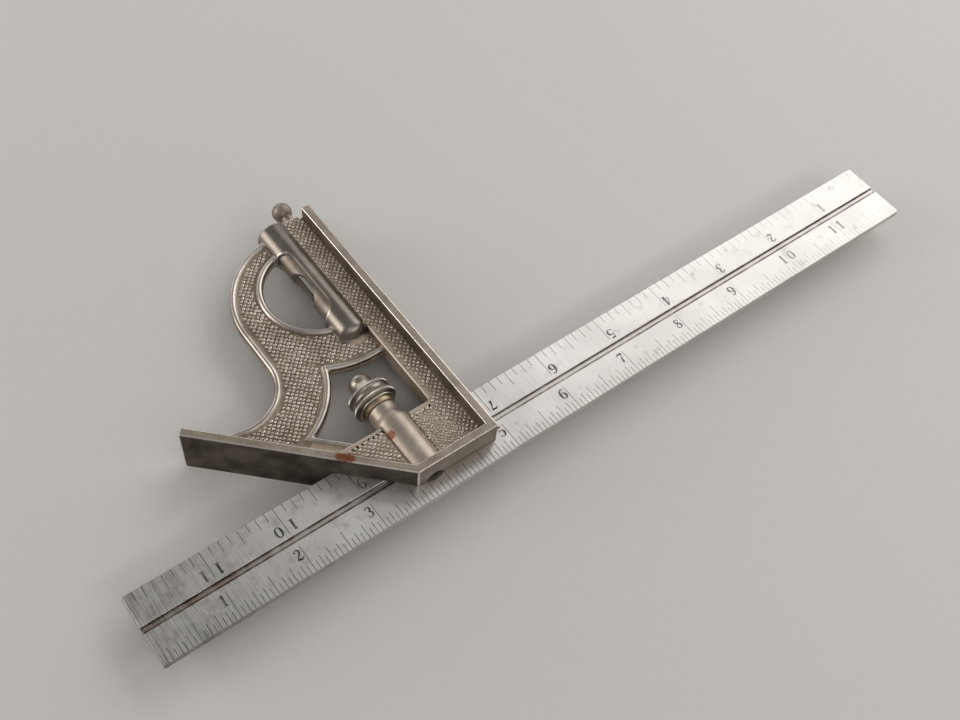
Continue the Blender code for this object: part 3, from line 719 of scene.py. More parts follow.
@dataclass
class Square:
    """Where the square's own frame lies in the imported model."""

    origin: Vector

    @classmethod
    def from_frame(cls) -> "Square":
        """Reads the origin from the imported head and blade."""
        head_low, head_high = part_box("square_head")
        return cls(Vector((head_high.x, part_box("blade")[1].y, (head_low.z + head_high.z) / 2)))

    def blemishes(self, *spots: Blemish) -> tuple[Blemish, ...]:
        """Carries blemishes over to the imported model's frame, all in millimetres."""
        return tuple((*(self.origin / MM + Vector(centre)), size) for *centre, size in spots)

    def settle(self, piece: Piece, body: str, slot: str, *nodes: str) -> None:
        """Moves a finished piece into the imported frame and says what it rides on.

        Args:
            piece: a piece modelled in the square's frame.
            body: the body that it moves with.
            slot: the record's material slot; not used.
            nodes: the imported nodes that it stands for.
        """
        choose(piece)
        bpy.ops.transform.translate(value=self.origin)
        bpy.ops.object.transform_apply(location=True, rotation=True, scale=True)
        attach(piece, body)
        if nodes:
            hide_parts(*nodes)
        log.info("%s: %d faces", piece.name, len(piece.data.polygons))


@dataclass
class Stipple:
    """The field of small raised dots on the head's flats, staggered on a square grid."""

    step: float = 0.985 * MM
    radius: float = 0.72 * MM
    height: float = 0.5 * MM
    sunk: float = 0.2 * MM
    uneven: float = 0.1 * MM

    def dot(self, name: str, up: int) -> Piece:
        """Models one dot: a low dome on a short foot that is sunk in the flat."""
        deselect()
        bpy.ops.mesh.primitive_circle_add(vertices=8, radius=self.radius, fill_type="NGON")
        dot = bpy.context.object
        dot.name = dot.data.name = name
        dome = ((0.45, 0.84), (0.33, 0.72), (0.22, 0.5))
        with editing():
            for rise, scale in ((self.sunk, 1.0), *((self.height * share, scale) for share, scale in dome)):
                bpy.ops.mesh.extrude_region_move(TRANSFORM_OT_translate={"value": (0, 0, up * rise)})
                bpy.ops.transform.resize(value=(scale, scale, 1.0))
            bpy.ops.mesh.select_all(action="SELECT")
            bpy.ops.mesh.normals_make_consistent(inside=False)
        return dot

    def field(
        self, name: str, face: Face, z: float, low: Point, high: Point, keep: Callable[[float, float], bool]
    ) -> Piece:
        """Lays uneven dots over a box and keeps those that stand on the flat.

        Args:
            name: the object's name.
            face: the face of the head that it is on.
            z: the flat's distance from the middle plane.
            low: the box's lowest x and y.
            high: the box's highest x and y.
            keep: whether a dot at x, y stays.

        Returns:
            The field as one mesh.
        """
        up = face.value
        dots = self.dot(name, up)
        per_dot = len(dots.data.vertices)
        pitch = 2 * self.step
        across, along = (math.ceil((end - start) / pitch) for start, end in zip(low, high))
        for count, offset in (
            (across, (pitch, 0, 0)),
            (along, (0, pitch, 0)),
            (2, (self.step, self.step, 0)),
        ):
            apply(
                dots,
                "ARRAY",
                count=count,
                use_relative_offset=False,
                use_constant_offset=True,
                constant_offset_displace=offset,
            )
        spots = spots_of(dots).reshape(-1, per_dot, 3)
        chance = np.random.default_rng(len(name) * 7 + up)
        shift = chance.uniform(-self.uneven, self.uneven, (len(spots), 1, 3)) * (1, 1, 0.4)
        middles = spots[:, :, :2].mean(1, keepdims=True)
        girth = chance.uniform((0.88, 0.74), (1.2, 1.0), (len(spots), 1, 2)).astype(np.float32)
        spots[:, :, :2] = middles + (spots[:, :, :2] - middles) * girth
        spots[:, :, 2:] *= chance.uniform(0.78, 1.12, (len(spots), 1, 1)).astype(np.float32)
        spots += shift.astype(np.float32) + np.array((*low, up * (z - self.sunk)), np.float32)
        stays = np.array([keep(x, y) for x, y in spots[:, :, :2].mean(1)])
        move_spots(dots, spots)
        self.drop(dots, np.repeat(~stays, per_dot))
        rise = (spots_of(dots)[:, 2] * up - z) / self.height
        rubbed = np.repeat(chance.uniform(-0.35, 0.2, len(rise) // per_dot), per_dot)
        # Dot tops painted light as highlight and bases dark as shade, with a random tone for each dot.
        store(dots, "relief", np.clip(rise * 1.75 - 0.68 + rubbed, -0.9, 0.85))
        store(dots, "polish", np.clip(rise * 0.8 - 0.15 + rubbed * 0.3, 0, 0.6))
        smooth(dots, 80)
        return dots

    @staticmethod
    def drop(dots: Piece, unwanted: np.ndarray) -> None:
        """Deletes the marked vertices."""
        choose(dots)
        with editing():
            bpy.ops.mesh.select_mode(type="VERT")
            bpy.ops.mesh.select_all(action="DESELECT")
        dots.data.vertices.foreach_set("select", unwanted)
        bpy.ops.object.mode_set(mode="EDIT")
        bpy.ops.mesh.delete(type="VERT")
        bpy.ops.object.mode_set(mode="OBJECT")


@dataclass
class SquareHead:
    """The cast head: a stippled, beaded web between a thick strip and jaws, with machined flanges."""

    square: Square
    width: float = 19.05 * MM
    flange_90: float = 3.0 * MM
    flange_45: float = 2.8 * MM
    nose_rim: float = 2.9 * MM
    face_90: float = 91.4 * MM
    face_45: float = 75.1 * MM
    nose_reach: float = 19.1 * MM
    nose_width: float = 30.4 * MM
    eased: float = 0.42 * MM
    body_half: float = 3.95 * MM
    web_half: float = 1.15 * MM
    bead_half: float = 1.2 * MM
    bead_crest: float = 2.05 * MM
    bead_flank: float = 0.75 * MM
    centre_x: float = -14.4 * MM
    arch_y: float = 60.5 * MM
    arch_radius: float = 30.2 * MM
    throat_y: float = 45.0 * MM
    throat_radius: float = 17.1 * MM
    throat_end: float = math.radians(-100.0)
    d_y: float = 64.6 * MM
    d_radius: float = 19.2 * MM
    bridge_radius: float = 34.2 * MM
    arm_radius: float = 33.0 * MM
    ledge: float = 10.4 * MM
    jaw_top: float = 3.9 * MM
    strip: float = 10.3 * MM
    strip_top: float = 93.6 * MM
    scriber_x: float = -5.95 * MM
    scriber_bore: float = 1.5 * MM
    scriber_floor: float = 21.4 * MM
    bush_bore: float = 2.1 * MM
    bush_depth: float = 8.3 * MM
    barrel_x: float = -14.4 * MM
    barrel_radius: float = 5.75 * MM
    barrel_bore: float = 4.75 * MM
    barrel_low: float = 38.3 * MM
    barrel_high: float = 94.0 * MM
    barrel_dome: float = 4.2 * MM
    barrel_floor: float = 1.9 * MM
    barrel_edge: float = 0.8 * MM
    sight_y: float = 66.1 * MM
    sight_length: float = 31.4 * MM
    sight_corner: float = 5.0 * MM
    sight_depth: float = 4.65 * MM
    boss_x: float = -24.0 * MM
    boss_radius: float = 6.2 * MM
    boss_shoulder: float = 4.0 * MM
    boss_bore: float = 3.6 * MM
    neck_radius: float = 5.2 * MM
    neck_bore: float = 2.55 * MM
    neck_top: float = 11.0 * MM
    neck_ledge: float = 2.4 * MM
    slot_half: float = 1.4 * MM
    dots_low: float = 15.2 * MM
    dot_gap: float = 0.9 * MM
    dot_edge: float = 0.5 * MM
    bare_sill: float = 1.5 * MM
    bare_strip: float = 1.7 * MM
    bare_boss: float = 5.4 * MM
    worn_start: float = 5.3 * MM
    worn_end: float = -11.5 * MM
    worn_lean: float = 0.35
    worn_drop: float = 2.2 * MM
    # Distance from the boss's axis to the crease that is painted dark as shade.
    seam: float = 5.0 * MM
    voxel: float = 0.37 * MM

    @property
    def face_45_sum(self) -> float:
        """x + y along the outer 45 degree face."""
        return -(self.nose_width + self.nose_reach)

    @property
    def inner_45_sum(self) -> float:
        """x + y along the inner face of the 45 degree flange."""
        return self.face_45_sum + self.flange_45 * DIAGONAL

    @property
    def nose_inside(self) -> float:
        """y of the nose rim's inner face."""
        return -self.nose_reach + self.nose_rim

    @property
    def flaws(self) -> list[tuple[float, float, float]]:
        """x, y and radius of the small casting flaws along the sill of the jaws."""
        left = [(-42.1 + 1.53 * i, 1.55 + 0.12 * min(i, 4), 0.42 + 0.1 * (i % 3)) for i in range(9)]
        right = [(-16.6, 1.3, 0.55), (-15.0, 1.1, 0.5), (-13.6, 1.3, 0.55)]
        right += [(-11.4, 1.7, 0.6), (-10.4, -2.7, 0.5)]
        return [(x * MM, y * MM, radius * MM) for x, y, radius in left + right]

    @property
    def throat(self) -> Point:
        """Centre of the S-curve's hollow."""
        return self.centre_x - self.arch_radius - self.throat_radius, self.throat_y

    def s_curve(self) -> list[Point]:
        """Crest of the bead along the S-curve, from the barrel to the 45 degree flange."""
        arch = arc((self.centre_x, self.arch_y), self.arch_radius, QUARTER, math.pi)
        hollow = arc(self.throat, self.throat_radius, 0, self.throat_end)
        heading = Vector((math.sin(self.throat_end), -math.cos(self.throat_end)))
        foot = Vector(hollow[-1])
        reach = (self.face_45_sum + self.flange_45 / DIAGONAL - foot.x - foot.y) / (heading.x + heading.y)
        return arch + hollow + [tuple(foot + heading * reach)]

    def d_arc(self) -> list[Point]:
        """Crest of the bead round the D window."""
        return arc((self.centre_x, self.d_y), self.d_radius, QUARTER, 3 * QUARTER)

    def window(self) -> tuple[list[Point], list[Point], list[Point]]:
        """Crests of the bead round the lower window.

        Returns:
            The bridge, the arm and the ledge, each ending where the next begins.
        """
        centre = Vector((self.centre_x, self.d_y))
        gap = Vector(self.throat) - centre
        along = (self.bridge_radius**2 - self.arm_radius**2 + gap.length_squared) / (2 * gap.length)
        across = math.sqrt(self.bridge_radius**2 - along**2)
        side = Vector((-gap.y, gap.x)).normalized() * across
        middle = centre + gap.normalized() * along
        cusp = min(middle + side, middle - side, key=lambda spot: spot.y)
        inside_strip = -self.strip * 0.75
        drop = math.sqrt(self.bridge_radius**2 - (inside_strip - self.centre_x) ** 2)
        start = Vector((inside_strip, self.d_y - drop))
        ledge_sum = self.face_45_sum + self.ledge * DIAGONAL
        lean = (ledge_sum - sum(self.throat)) / (self.arm_radius * DIAGONAL)
        foot = math.pi / 4 - math.acos(lean)
        angle = [math.atan2(spot.y - centre.y, spot.x - centre.x) for spot in (start, cusp)]
        bridge = arc(tuple(centre), self.bridge_radius, *angle)
        cusp_turn = math.atan2(cusp.y - self.throat[1], cusp.x - self.throat[0])
        arm = arc(self.throat, self.arm_radius, cusp_turn, foot)
        inside_jaws = self.jaw_top * 0.75
        return bridge, arm, [arm[-1], (ledge_sum - inside_jaws, inside_jaws)]

    def rods(self, half_width: float, clear_of: float = 0.0) -> list[Piece]:
        """Models the raised beads along the S-curve and round both windows.

        Args:
            half_width: half a bead's width.
            clear_of: the x that beads stop at, short of the barrel's bore.

        Returns:
            A rod for each bead.
        """
        bridge, arm, ledge = self.window()
        past = 0.5 * self.bead_half
        hardly = 0.0001 * MM
        paths = {
            "s_bead": [spot for spot in self.s_curve() if spot[0] <= clear_of],
            "d_bead": [spot for spot in self.d_arc() if spot[0] <= clear_of],
            "bridge_bead": run_on(bridge, hardly, past),
            "arm_bead": run_on(arm, past, past),
            "ledge_bead": run_on(ledge, past, hardly),
        }
        rise = self.bead_crest - self.bead_flank
        return [rod(name, path, half_width, self.bead_flank, rise) for name, path in paths.items()]

    def beads(self) -> Piece:
        """Models the beads' crisp rubbed crests, over the softer ones of the casting.

        Returns:
            The beads, marked dark at their feet as painted shade and old oil, and light on their crests as
            highlight.
        """
        clear_of = self.barrel_x - self.barrel_bore + 0.4 * MM
        beads = join("head_beads", *self.rods(self.bead_half - 0.03 * MM, clear_of))
        rise = (np.abs(spots_of(beads)[:, 2]) - self.web_half) / (self.bead_crest - self.web_half)
        # Feet painted dark as shade with some old oil, crests painted light as highlight with some wear.
        store(beads, "relief", np.clip(rise * 1.8 - 0.95, -0.8, 0.5))
        store(beads, "polish", np.full(len(rise), 0.62))
        smooth(beads, 50)
        return beads

    def pits(self) -> Piece:
        """Cutter for the row of small casting flaws along the sill of the jaws."""
        hollows = []
        for x, y, radius in self.flaws:
            deselect()
            centre = (x, y, self.body_half + 0.08 * MM)
            bpy.ops.mesh.primitive_uv_sphere_add(segments=10, ring_count=6, radius=radius, location=centre)
            bpy.ops.object.transform_apply(location=True, rotation=True, scale=True)
            hollows.append(bpy.context.object)
        return join("pits", *hollows)

    def web(self) -> Piece:
        """Models the thin web with both its windows."""
        inside_45 = self.face_45_sum + self.flange_45 / DIAGONAL
        curve = self.s_curve()
        points = [
            (inside_45 - self.jaw_top / 2, self.jaw_top / 2),
            (-self.strip / 2, self.jaw_top / 2),
            (-self.strip / 2, curve[0][1]),
            *curve,
        ]
        web = plate("web", points, -self.web_half, self.web_half)
        bridge, arm, ledge = self.window()
        lower = bridge + arm[1:] + [ledge[1], (bridge[0][0], ledge[1][1])]
        for name, window in (("d_cut", self.d_arc()), ("lower_cut", lower)):
            cut(web, plate(name, window, -self.width, self.width))
        return web

    def body(self) -> Piece:
        """Models the thick jaws and the strip that holds the scriber."""
        inside_45 = self.face_45_sum + self.flange_45 / DIAGONAL
        nose_y = -self.nose_reach + self.nose_rim / 2
        points = [
            (inside_45 - nose_y, nose_y),
            (-self.flange_90 / 2, nose_y),
            (-self.flange_90 / 2, self.face_90 - 1.1 * MM),
            (-self.flange_90 - 1.1 * MM, self.strip_top - 0.7 * MM),
            (self.scriber_x, self.strip_top),
            (-self.strip, self.strip_top),
            (-self.strip, self.jaw_top),
            (inside_45 - self.jaw_top, self.jaw_top),
        ]
        return plate("jaws_and_strip", points, -self.body_half, self.body_half)

    def barrel(self) -> Piece:
        """Models the level's barrel, round at its low end."""
        turns = [QUARTER * i / 16 for i in range(17)]
        low, radius, edge = self.barrel_low, self.barrel_radius, self.barrel_edge
        dome = [(radius * math.sin(a), low + self.barrel_dome * (1 - math.cos(a))) for a in turns]
        mouth = arc((radius - edge, self.barrel_high - edge), edge, 0, QUARTER, 15)
        return turned("barrel", dome + mouth + [(0, self.barrel_high)], self.barrel_x)

    def boss(self) -> Piece:
        """Models the clamp's boss, which narrows to its neck in a soft shoulder."""
        foot = -self.nose_reach + self.nose_rim / 2
        drop, length = self.boss_radius - self.neck_radius, self.boss_shoulder
        shoulder = [
            (self.neck_radius + drop * (0.5 + 0.5 * math.cos(math.pi * t)), self.jaw_top + length * t)
            for t in (i / 10 for i in range(11))
        ]
        top = [(self.neck_radius, self.neck_top), (0, self.neck_top)]
        return turned("boss", [(0, foot), (self.boss_radius, foot), *shoulder, *top], self.boss_x)

    def casting(self) -> Piece:
        """Models the casting: its thick and thin parts run together, and its bores and slot cut after.

        Returns:
            The casting, with soft corners where its parts meet.
        """
        parts = (self.web(), self.body(), *self.rods(self.bead_half), self.barrel(), self.boss())
        casting = join("head_casting", *parts)
        apply(casting, "REMESH", mode="VOXEL", voxel_size=self.voxel)
        apply(casting, "SMOOTH", factor=0.5, iterations=6)
        cut(
            casting,
            self.sight(),
            self.level_bore(),
            self.clamp_bore(),
            self.scriber_hole(),
            self.slot(),
            self.pits(),
        )
        store(casting, "relief", relief_of(casting, 0.9 * MM))
        self.mark_floor(casting)
        self.mark_polish(casting)
        smooth(casting, 40)
        return casting

    def slot(self) -> Piece:
        """Cutter for the rule's slot through the jaws."""
        left, right = -self.nose_width * 4, self.width
        low, high = -self.nose_reach - self.width, 0.2 * MM
        ring = [(left, low), (right, low), (right, high), (left, high)]
        return plate("slot", ring, -self.slot_half, self.slot_half)

    def clamp_bore(self) -> Piece:
        """Cutter for the bolt's stepped bore through the boss."""
        start, beyond = -self.nose_reach - self.width, self.neck_top + 1.2 * MM
        wide = (self.boss_bore, self.neck_top - self.neck_ledge)
        return drill("clamp_bore", self.boss_x, start, wide, (self.neck_bore, beyond))

    def sight(self) -> Piece:
        """Cutter for the sight opening in the barrel's side."""
        corner = self.sight_corner
        x = self.barrel_x - self.barrel_radius + self.sight_depth - corner
        half = self.sight_length / 2 - corner
        turn = math.radians(87.5)
        low = arc((x, self.sight_y - half), corner, -turn, 0)
        return plate("sight", low + arc((x, self.sight_y + half), corner, 0, turn), -self.width, self.width)

    def level_bore(self) -> Piece:
        """Cutter for the barrel's bore, open at its mouth."""
        floor = self.barrel_low + self.barrel_dome + self.barrel_floor
        return drill("barrel_bore", self.barrel_x, floor, (self.barrel_bore, self.barrel_high + self.width))

    def scriber_hole(self) -> Piece:
        """Cutter for the scriber's hole down the strip, wider at its mouth for the bush."""
        narrow = (self.scriber_bore, self.strip_top - self.bush_depth)
        mouth = (self.bush_bore, self.barrel_high + self.width)
        return drill("scriber_bore", self.scriber_x, self.scriber_floor, narrow, mouth, facets=48)

    def mark_floor(self, casting: Piece) -> None:
        """Stores how dark the flats are painted, as shade and old oil, between dots, by the beads and boss
        and in the flaws.
        """
        spots = spots_of(casting)
        value = np.zeros(len(spots), np.float32)
        height = np.abs(spots[:, 2])
        # The flats between the dots are painted dark as shade with some old oil, the web's the most.
        for level, keep, grime in ((self.web_half, self.on_web, 1.0), (self.body_half, self.on_body, 0.34)):
            for i in np.nonzero(np.abs(height - level) < 0.12 * MM)[0]:
                value[i] = grime * keep(float(spots[i, 0]), float(spots[i, 1]))
        # Bands along the beads' feet are painted dark as shade with some old oil, darkest round the D window.
        for i in np.nonzero(np.abs(height - self.web_half) < 0.3 * MM)[0]:
            x, y = float(spots[i, 0]), float(spots[i, 1])
            if self.bead_gap(x, y) < self.bead_half + 0.75 * MM:
                by_window = math.hypot(x - self.centre_x, y - self.d_y) < self.d_radius + 3 * self.bead_half
                value[i] = 1.3 if by_window else 0.85
        # The crease where the boss meets the jaws is painted dark as shade with some old oil.
        seam = np.abs(np.abs(spots[:, 0] - self.boss_x) - self.seam) < 0.35 * MM
        value[seam & (np.abs(height - self.body_half) < 0.4 * MM) & (spots[:, 1] < self.jaw_top)] = 1.3
        # The flaws are painted darkest: shade in the pits, with some old oil.
        for x, y, radius in self.flaws:
            value[np.hypot(spots[:, 0] - x, spots[:, 1] - y) < radius] = 2.1
        store(casting, "floor", value)

    def mark_polish(self, casting: Piece) -> None:
        """Stores how smooth the barrel, the beads, the boss and the rough rest are."""
        x, y, z = spots_of(casting).T
        height = np.abs(z)
        near = 0.25 * MM
        barrel = (np.hypot(x - self.barrel_x, z) < self.barrel_radius + near) & (y > self.barrel_low)
        boss = np.hypot(x - self.boss_x, z) < self.boss_radius + near
        boss &= (height > self.body_half + 0.3 * MM) | (y > self.jaw_top)
        boss &= y < self.neck_top + 0.3 * MM
        beads = (height > self.web_half + 0.35 * MM) & (height < self.bead_crest + 0.1 * MM) & ~boss
        store(casting, "polish", np.select([barrel, beads, boss], [0.7, 0.6, 0.34], 0.1))

    def tail(self, x: float, y: float) -> Point:
        """How far a point lies along the S-curve's straight tail, and out from the throat's centre."""
        right, up = x - self.throat[0], y - self.throat[1]
        sine, cosine = math.sin(self.throat_end), math.cos(self.throat_end)
        return right * sine - up * cosine, right * cosine + up * sine

    def bead_gap(self, x: float, y: float) -> float:
        """Distance from a point on the web to the nearest bead's crest."""
        d_gap = math.hypot(x - self.centre_x, y - self.d_y)
        throat_gap = math.hypot(x - self.throat[0], y - self.throat[1])
        past, beside = self.tail(x, y)
        gaps = [abs((beside if past > 0 else throat_gap) - self.throat_radius)]
        if x < self.centre_x:
            gaps.append(abs(d_gap - self.d_radius))
        if y > self.arch_y:
            gaps.append(abs(math.hypot(x - self.centre_x, y - self.arch_y) - self.arch_radius))
        elif y > self.throat_y:
            gaps.append(abs(x - self.centre_x + self.arch_radius))
        if throat_gap > self.arm_radius - 2 * self.bead_half:
            gaps.append(abs(d_gap - self.bridge_radius))
        if d_gap > self.bridge_radius - 2 * self.bead_half:
            gaps.append(abs(throat_gap - self.arm_radius))
        return min(gaps)

    def on_web(self, x: float, y: float) -> bool:
        """Whether a point lies on the web's stippled flat."""
        margin = self.bead_half + self.dot_gap
        if x > -self.strip - self.dot_edge or x + y < self.inner_45_sum + self.dot_gap or y < self.dots_low:
            return False
        d_gap = math.hypot(x - self.centre_x, y - self.d_y)
        if x < self.centre_x and d_gap < self.d_radius + margin:
            return False
        throat_gap = math.hypot(x - self.throat[0], y - self.throat[1])
        past, beside = self.tail(x, y)
        if min(throat_gap, beside if past > 0 else throat_gap) < self.throat_radius + margin:
            return False
        if d_gap > self.bridge_radius - margin and throat_gap > self.arm_radius - margin:
            return False
        if y > self.arch_y:
            if math.hypot(x - self.centre_x, y - self.arch_y) > self.arch_radius - margin:
                return False
        elif x < self.centre_x - self.arch_radius + margin and y > self.throat_y:
            return False
        below = min(0.0, y - self.barrel_low - self.barrel_dome)
        return math.hypot(x - self.barrel_x, below) > self.barrel_radius + self.dot_edge

    def on_body(self, x: float, y: float) -> bool:
        """Whether a point lies on the stippled flat of the strip or the jaws."""
        edge = 0.4 * MM
        if x > -self.flange_90 - edge or not self.nose_inside + edge <= y <= self.strip_top - edge:
            return False
        if x + y < self.inner_45_sum + edge * DIAGONAL:
            return False
        if y < self.jaw_top:
            if y > self.jaw_top - self.bare_sill and x < -self.strip:
                return False
            if x > self.boss_x and self.worn_away(x, y):
                return False
            return abs(x - self.boss_x) > self.bare_boss
        return x > -self.strip + (self.bare_strip if y < self.barrel_low else self.dot_edge)

    def worn_away(self, x: float, y: float) -> bool:
        """Whether a point lies where the jaw's dots came out fine and shallow, beside the boss."""
        beside = self.boss_x + self.worn_start < x and x + self.worn_lean * y < self.worn_end
        return beside and self.nose_inside + self.dot_edge < y < self.jaw_top - self.worn_drop

    def flanges(self) -> Piece:
        """Models the machined flanges and nose rim as one bent plate with eased edges.

        Returns:
            The plate, slotted for the rule.
        """
        nose_left = Vector((-self.nose_width, -self.nose_reach))
        far = nose_left + Vector((-1, 1)).normalized() * self.face_45
        points = [
            tuple(far),
            tuple(nose_left),
            (0, -self.nose_reach),
            (0, self.face_90),
            (-self.flange_90, self.face_90),
            (-self.flange_90, self.nose_inside),
            (self.inner_45_sum - self.nose_inside, self.nose_inside),
            tuple(far + Vector((1, 1)).normalized() * self.flange_45),
        ]
        rim = plate("head_flanges", points, -self.width / 2, self.width / 2)
        ease(rim, self.eased)
        cut(rim, self.slot(), self.clamp_bore())
        self.mark_wear(rim)
        smooth(rim, 30)
        keep_flat(rim)
        return rim

    def mark_wear(self, rim: Piece) -> None:
        """Stores painted shade by facing, darkest on the mitre face and inner walls, and painted highlight
        with wear on edges.
        """
        slant = math.sqrt(0.5)
        # Painted shade for each way a face looks, from none to full.
        faces = {
            (0.0, 0.0, 1.0): -0.3,
            (0.0, 0.0, -1.0): 0.0,
            (1.0, 0.0, 0.0): 0.0,
            (0.0, -1.0, 0.0): -0.45,
            (-1.0, 0.0, 0.0): -0.62,
            (0.0, 1.0, 0.0): -0.4,
            (slant, slant, 0.0): -0.5,
            (-slant, -slant, 0.0): -1.0,
            (-slant, slant, 0.0): 0.0,
        }
        ways, shade_levels = np.array(list(faces)), list(faces.values())
        values = np.zeros(len(rim.data.loops), np.float32)
        for face in rim.data.polygons:
            near = ways @ np.array(face.normal)
            best = int(near.argmax())
            # Edges are painted light as highlight with some wear, and those facing inward dark as shade.
            inner = face.normal.y > 0.3 and face.normal.x > -0.1
            edge = -0.5 if inner else 0.95
            values[list(face.loop_indices)] = shade_levels[best] if near[best] > 0.995 else edge
        store(rim, "relief", values, "CORNER")
        store(rim, "polish", np.full(len(rim.data.vertices), 0.32))

    def stipples(self) -> Iterator[Piece]:
        """Lays the dots on both faces of the web and of the body, over boxes in millimetres."""
        grid = Stipple()
        fine = Stipple(step=0.7 * MM, radius=0.5 * MM, height=0.38 * MM, uneven=0.2 * MM)
        fields = (
            ("web", grid, self.web_half, (-80, 12), (-9, 93), self.on_web),
            ("body", grid, self.body_half, (-48, -18), (-2, 95), self.on_body),
            ("worn", fine, self.body_half, (-20, -18), (-2, 4), self.worn_away),
        )
        for face in Face:
            for part, dots, z, low, high, keep in fields:
                box = (tuple(side * MM for side in corner) for corner in (low, high))
                yield dots.field(f"{part}_stipple_{face.name.lower()}", face, z, *box, keep)

    def build(self, iron: Material) -> None:
        """Builds the head and dresses it in nickelled iron."""
        for piece in (self.casting(), self.beads(), self.flanges(), *self.stipples()):
            nodes = ("square_head",) if piece.name == "head_casting" else ()
            self.square.settle(dress(piece, iron), "head", "nickelled_iron", *nodes)


@dataclass(frozen=True)
class Stroke:
    """One stroke of a figure: points on its middle line with half widths, in shares of the height."""

    points: tuple[tuple[float, float, float], ...]
    weight: float = 1.25

    def line(self, steps: int) -> list[Vector]:
        """Spots along the middle line, smooth through its points."""
        spots = [Vector(p) for p in self.points]
        if len(spots) == 2:
            return spots
        ends = [spots[0] * 2 - spots[1], *spots, spots[-1] * 2 - spots[-2]]
        line = []
        for a, b, c, d in zip(ends, ends[1:], ends[2:], ends[3:]):
            square, cube = 2 * a - 5 * b + 4 * c - d, 3 * b - a - 3 * c + d
            for t in (i / steps for i in range(steps)):
                line.append(0.5 * (2 * b + (c - a) * t + square * t**2 + cube * t**3))
        return [*line, spots[-1]]

    def edge(self, steps: int = 7) -> list[Point]:
        """The stroke's closed outline, with that many spots from each point to the next."""
        line = self.line(steps)
        left, right = [], []
        for i, spot in enumerate(line):
            ahead = line[min(i + 1, len(line) - 1)] - line[max(i - 1, 0)]
            normal = Vector((-ahead.y, ahead.x)).normalized() * spot.z * self.weight
            left.append((spot.x + normal.x, spot.y + normal.y))
            right.append((spot.x - normal.x, spot.y - normal.y))
        return left + right[::-1]


def strokes(*lines: Sequence[tuple[float, float, float]]) -> tuple[Stroke, ...]:
    """Strokes from rows of points."""
    return tuple(Stroke(tuple(line)) for line in lines)


FIGURE_WIDTH = 0.62
# Old-style engraved figures: heavy stems, hair lines and round ends, drawn for this rule
FIGURES: dict[str, tuple[Stroke, ...]] = {
    "0": strokes(
        [(0.31, 0.98, 0.025), (0.12, 0.82, 0.06), (0.07, 0.5, 0.085),
         (0.12, 0.18, 0.06), (0.31, 0.02, 0.025)],
        [(0.31, 0.98, 0.025), (0.50, 0.82, 0.06), (0.55, 0.5, 0.085),
         (0.50, 0.18, 0.06), (0.31, 0.02, 0.025)],
    ),
    "1": strokes(
        [(0.31, 1.0, 0.08), (0.31, 0.0, 0.08)],
        [(0.33, 0.96, 0.03), (0.22, 0.86, 0.03), (0.10, 0.82, 0.025)],
        [(0.10, 0.025, 0.028), (0.52, 0.025, 0.028)],
    ),
    "2": strokes(
        [(0.13, 0.74, 0.075), (0.16, 0.90, 0.03), (0.31, 0.97, 0.035), (0.48, 0.84, 0.075),
         (0.46, 0.60, 0.07), (0.27, 0.36, 0.04), (0.10, 0.12, 0.025)],
        [(0.07, 0.09, 0.04), (0.22, 0.11, 0.075), (0.42, 0.07, 0.08), (0.53, 0.11, 0.04), (0.58, 0.26, 0.02)],
    ),
    "3": strokes(
        [(0.13, 0.80, 0.07), (0.17, 0.93, 0.03), (0.31, 0.975, 0.03), (0.46, 0.86, 0.07),
         (0.44, 0.65, 0.07), (0.27, 0.53, 0.025)],
        [(0.27, 0.53, 0.025), (0.46, 0.45, 0.06), (0.52, 0.26, 0.085), (0.42, 0.07, 0.05),
         (0.27, 0.02, 0.025), (0.13, 0.08, 0.03), (0.10, 0.20, 0.07)],
    ),
    "4": strokes(
        [(0.44, 1.0, 0.08), (0.44, 0.0, 0.08)],
        [(0.42, 0.98, 0.03), (0.05, 0.30, 0.03)],
        [(0.03, 0.28, 0.03), (0.62, 0.28, 0.03)],
        [(0.26, 0.025, 0.028), (0.60, 0.025, 0.028)],
    ),
    "5": strokes(
        [(0.14, 0.92, 0.05), (0.32, 0.91, 0.07), (0.52, 0.97, 0.03)],
        [(0.14, 0.96, 0.025), (0.12, 0.50, 0.025)],
        [(0.12, 0.50, 0.025), (0.28, 0.60, 0.03), (0.47, 0.52, 0.065), (0.53, 0.30, 0.085),
         (0.43, 0.08, 0.05), (0.27, 0.02, 0.025), (0.13, 0.07, 0.03), (0.10, 0.18, 0.07)],
    ),
    "6": strokes(
        [(0.49, 0.84, 0.06), (0.42, 0.96, 0.03), (0.28, 0.94, 0.04), (0.13, 0.72, 0.07),
         (0.08, 0.40, 0.085), (0.16, 0.10, 0.05), (0.31, 0.02, 0.025)],
        [(0.31, 0.02, 0.025), (0.47, 0.10, 0.06), (0.53, 0.30, 0.085), (0.46, 0.50, 0.06),
         (0.31, 0.58, 0.025), (0.16, 0.48, 0.03)],
    ),
    "7": strokes(
        [(0.06, 0.74, 0.022), (0.10, 0.92, 0.04), (0.26, 0.92, 0.075),
         (0.44, 0.90, 0.07), (0.57, 0.98, 0.03)],
        [(0.56, 0.97, 0.025), (0.42, 0.68, 0.03), (0.29, 0.36, 0.07), (0.25, 0.04, 0.085)],
    ),
    "8": strokes(
        [(0.31, 0.975, 0.025), (0.17, 0.90, 0.05), (0.16, 0.70, 0.06), (0.31, 0.54, 0.055),
         (0.48, 0.38, 0.07), (0.51, 0.18, 0.06), (0.31, 0.02, 0.025)],
        [(0.31, 0.975, 0.025), (0.45, 0.90, 0.03), (0.46, 0.72, 0.03), (0.31, 0.57, 0.03)],
        [(0.31, 0.52, 0.03), (0.12, 0.36, 0.035), (0.10, 0.16, 0.04), (0.31, 0.02, 0.025)],
    ),
}
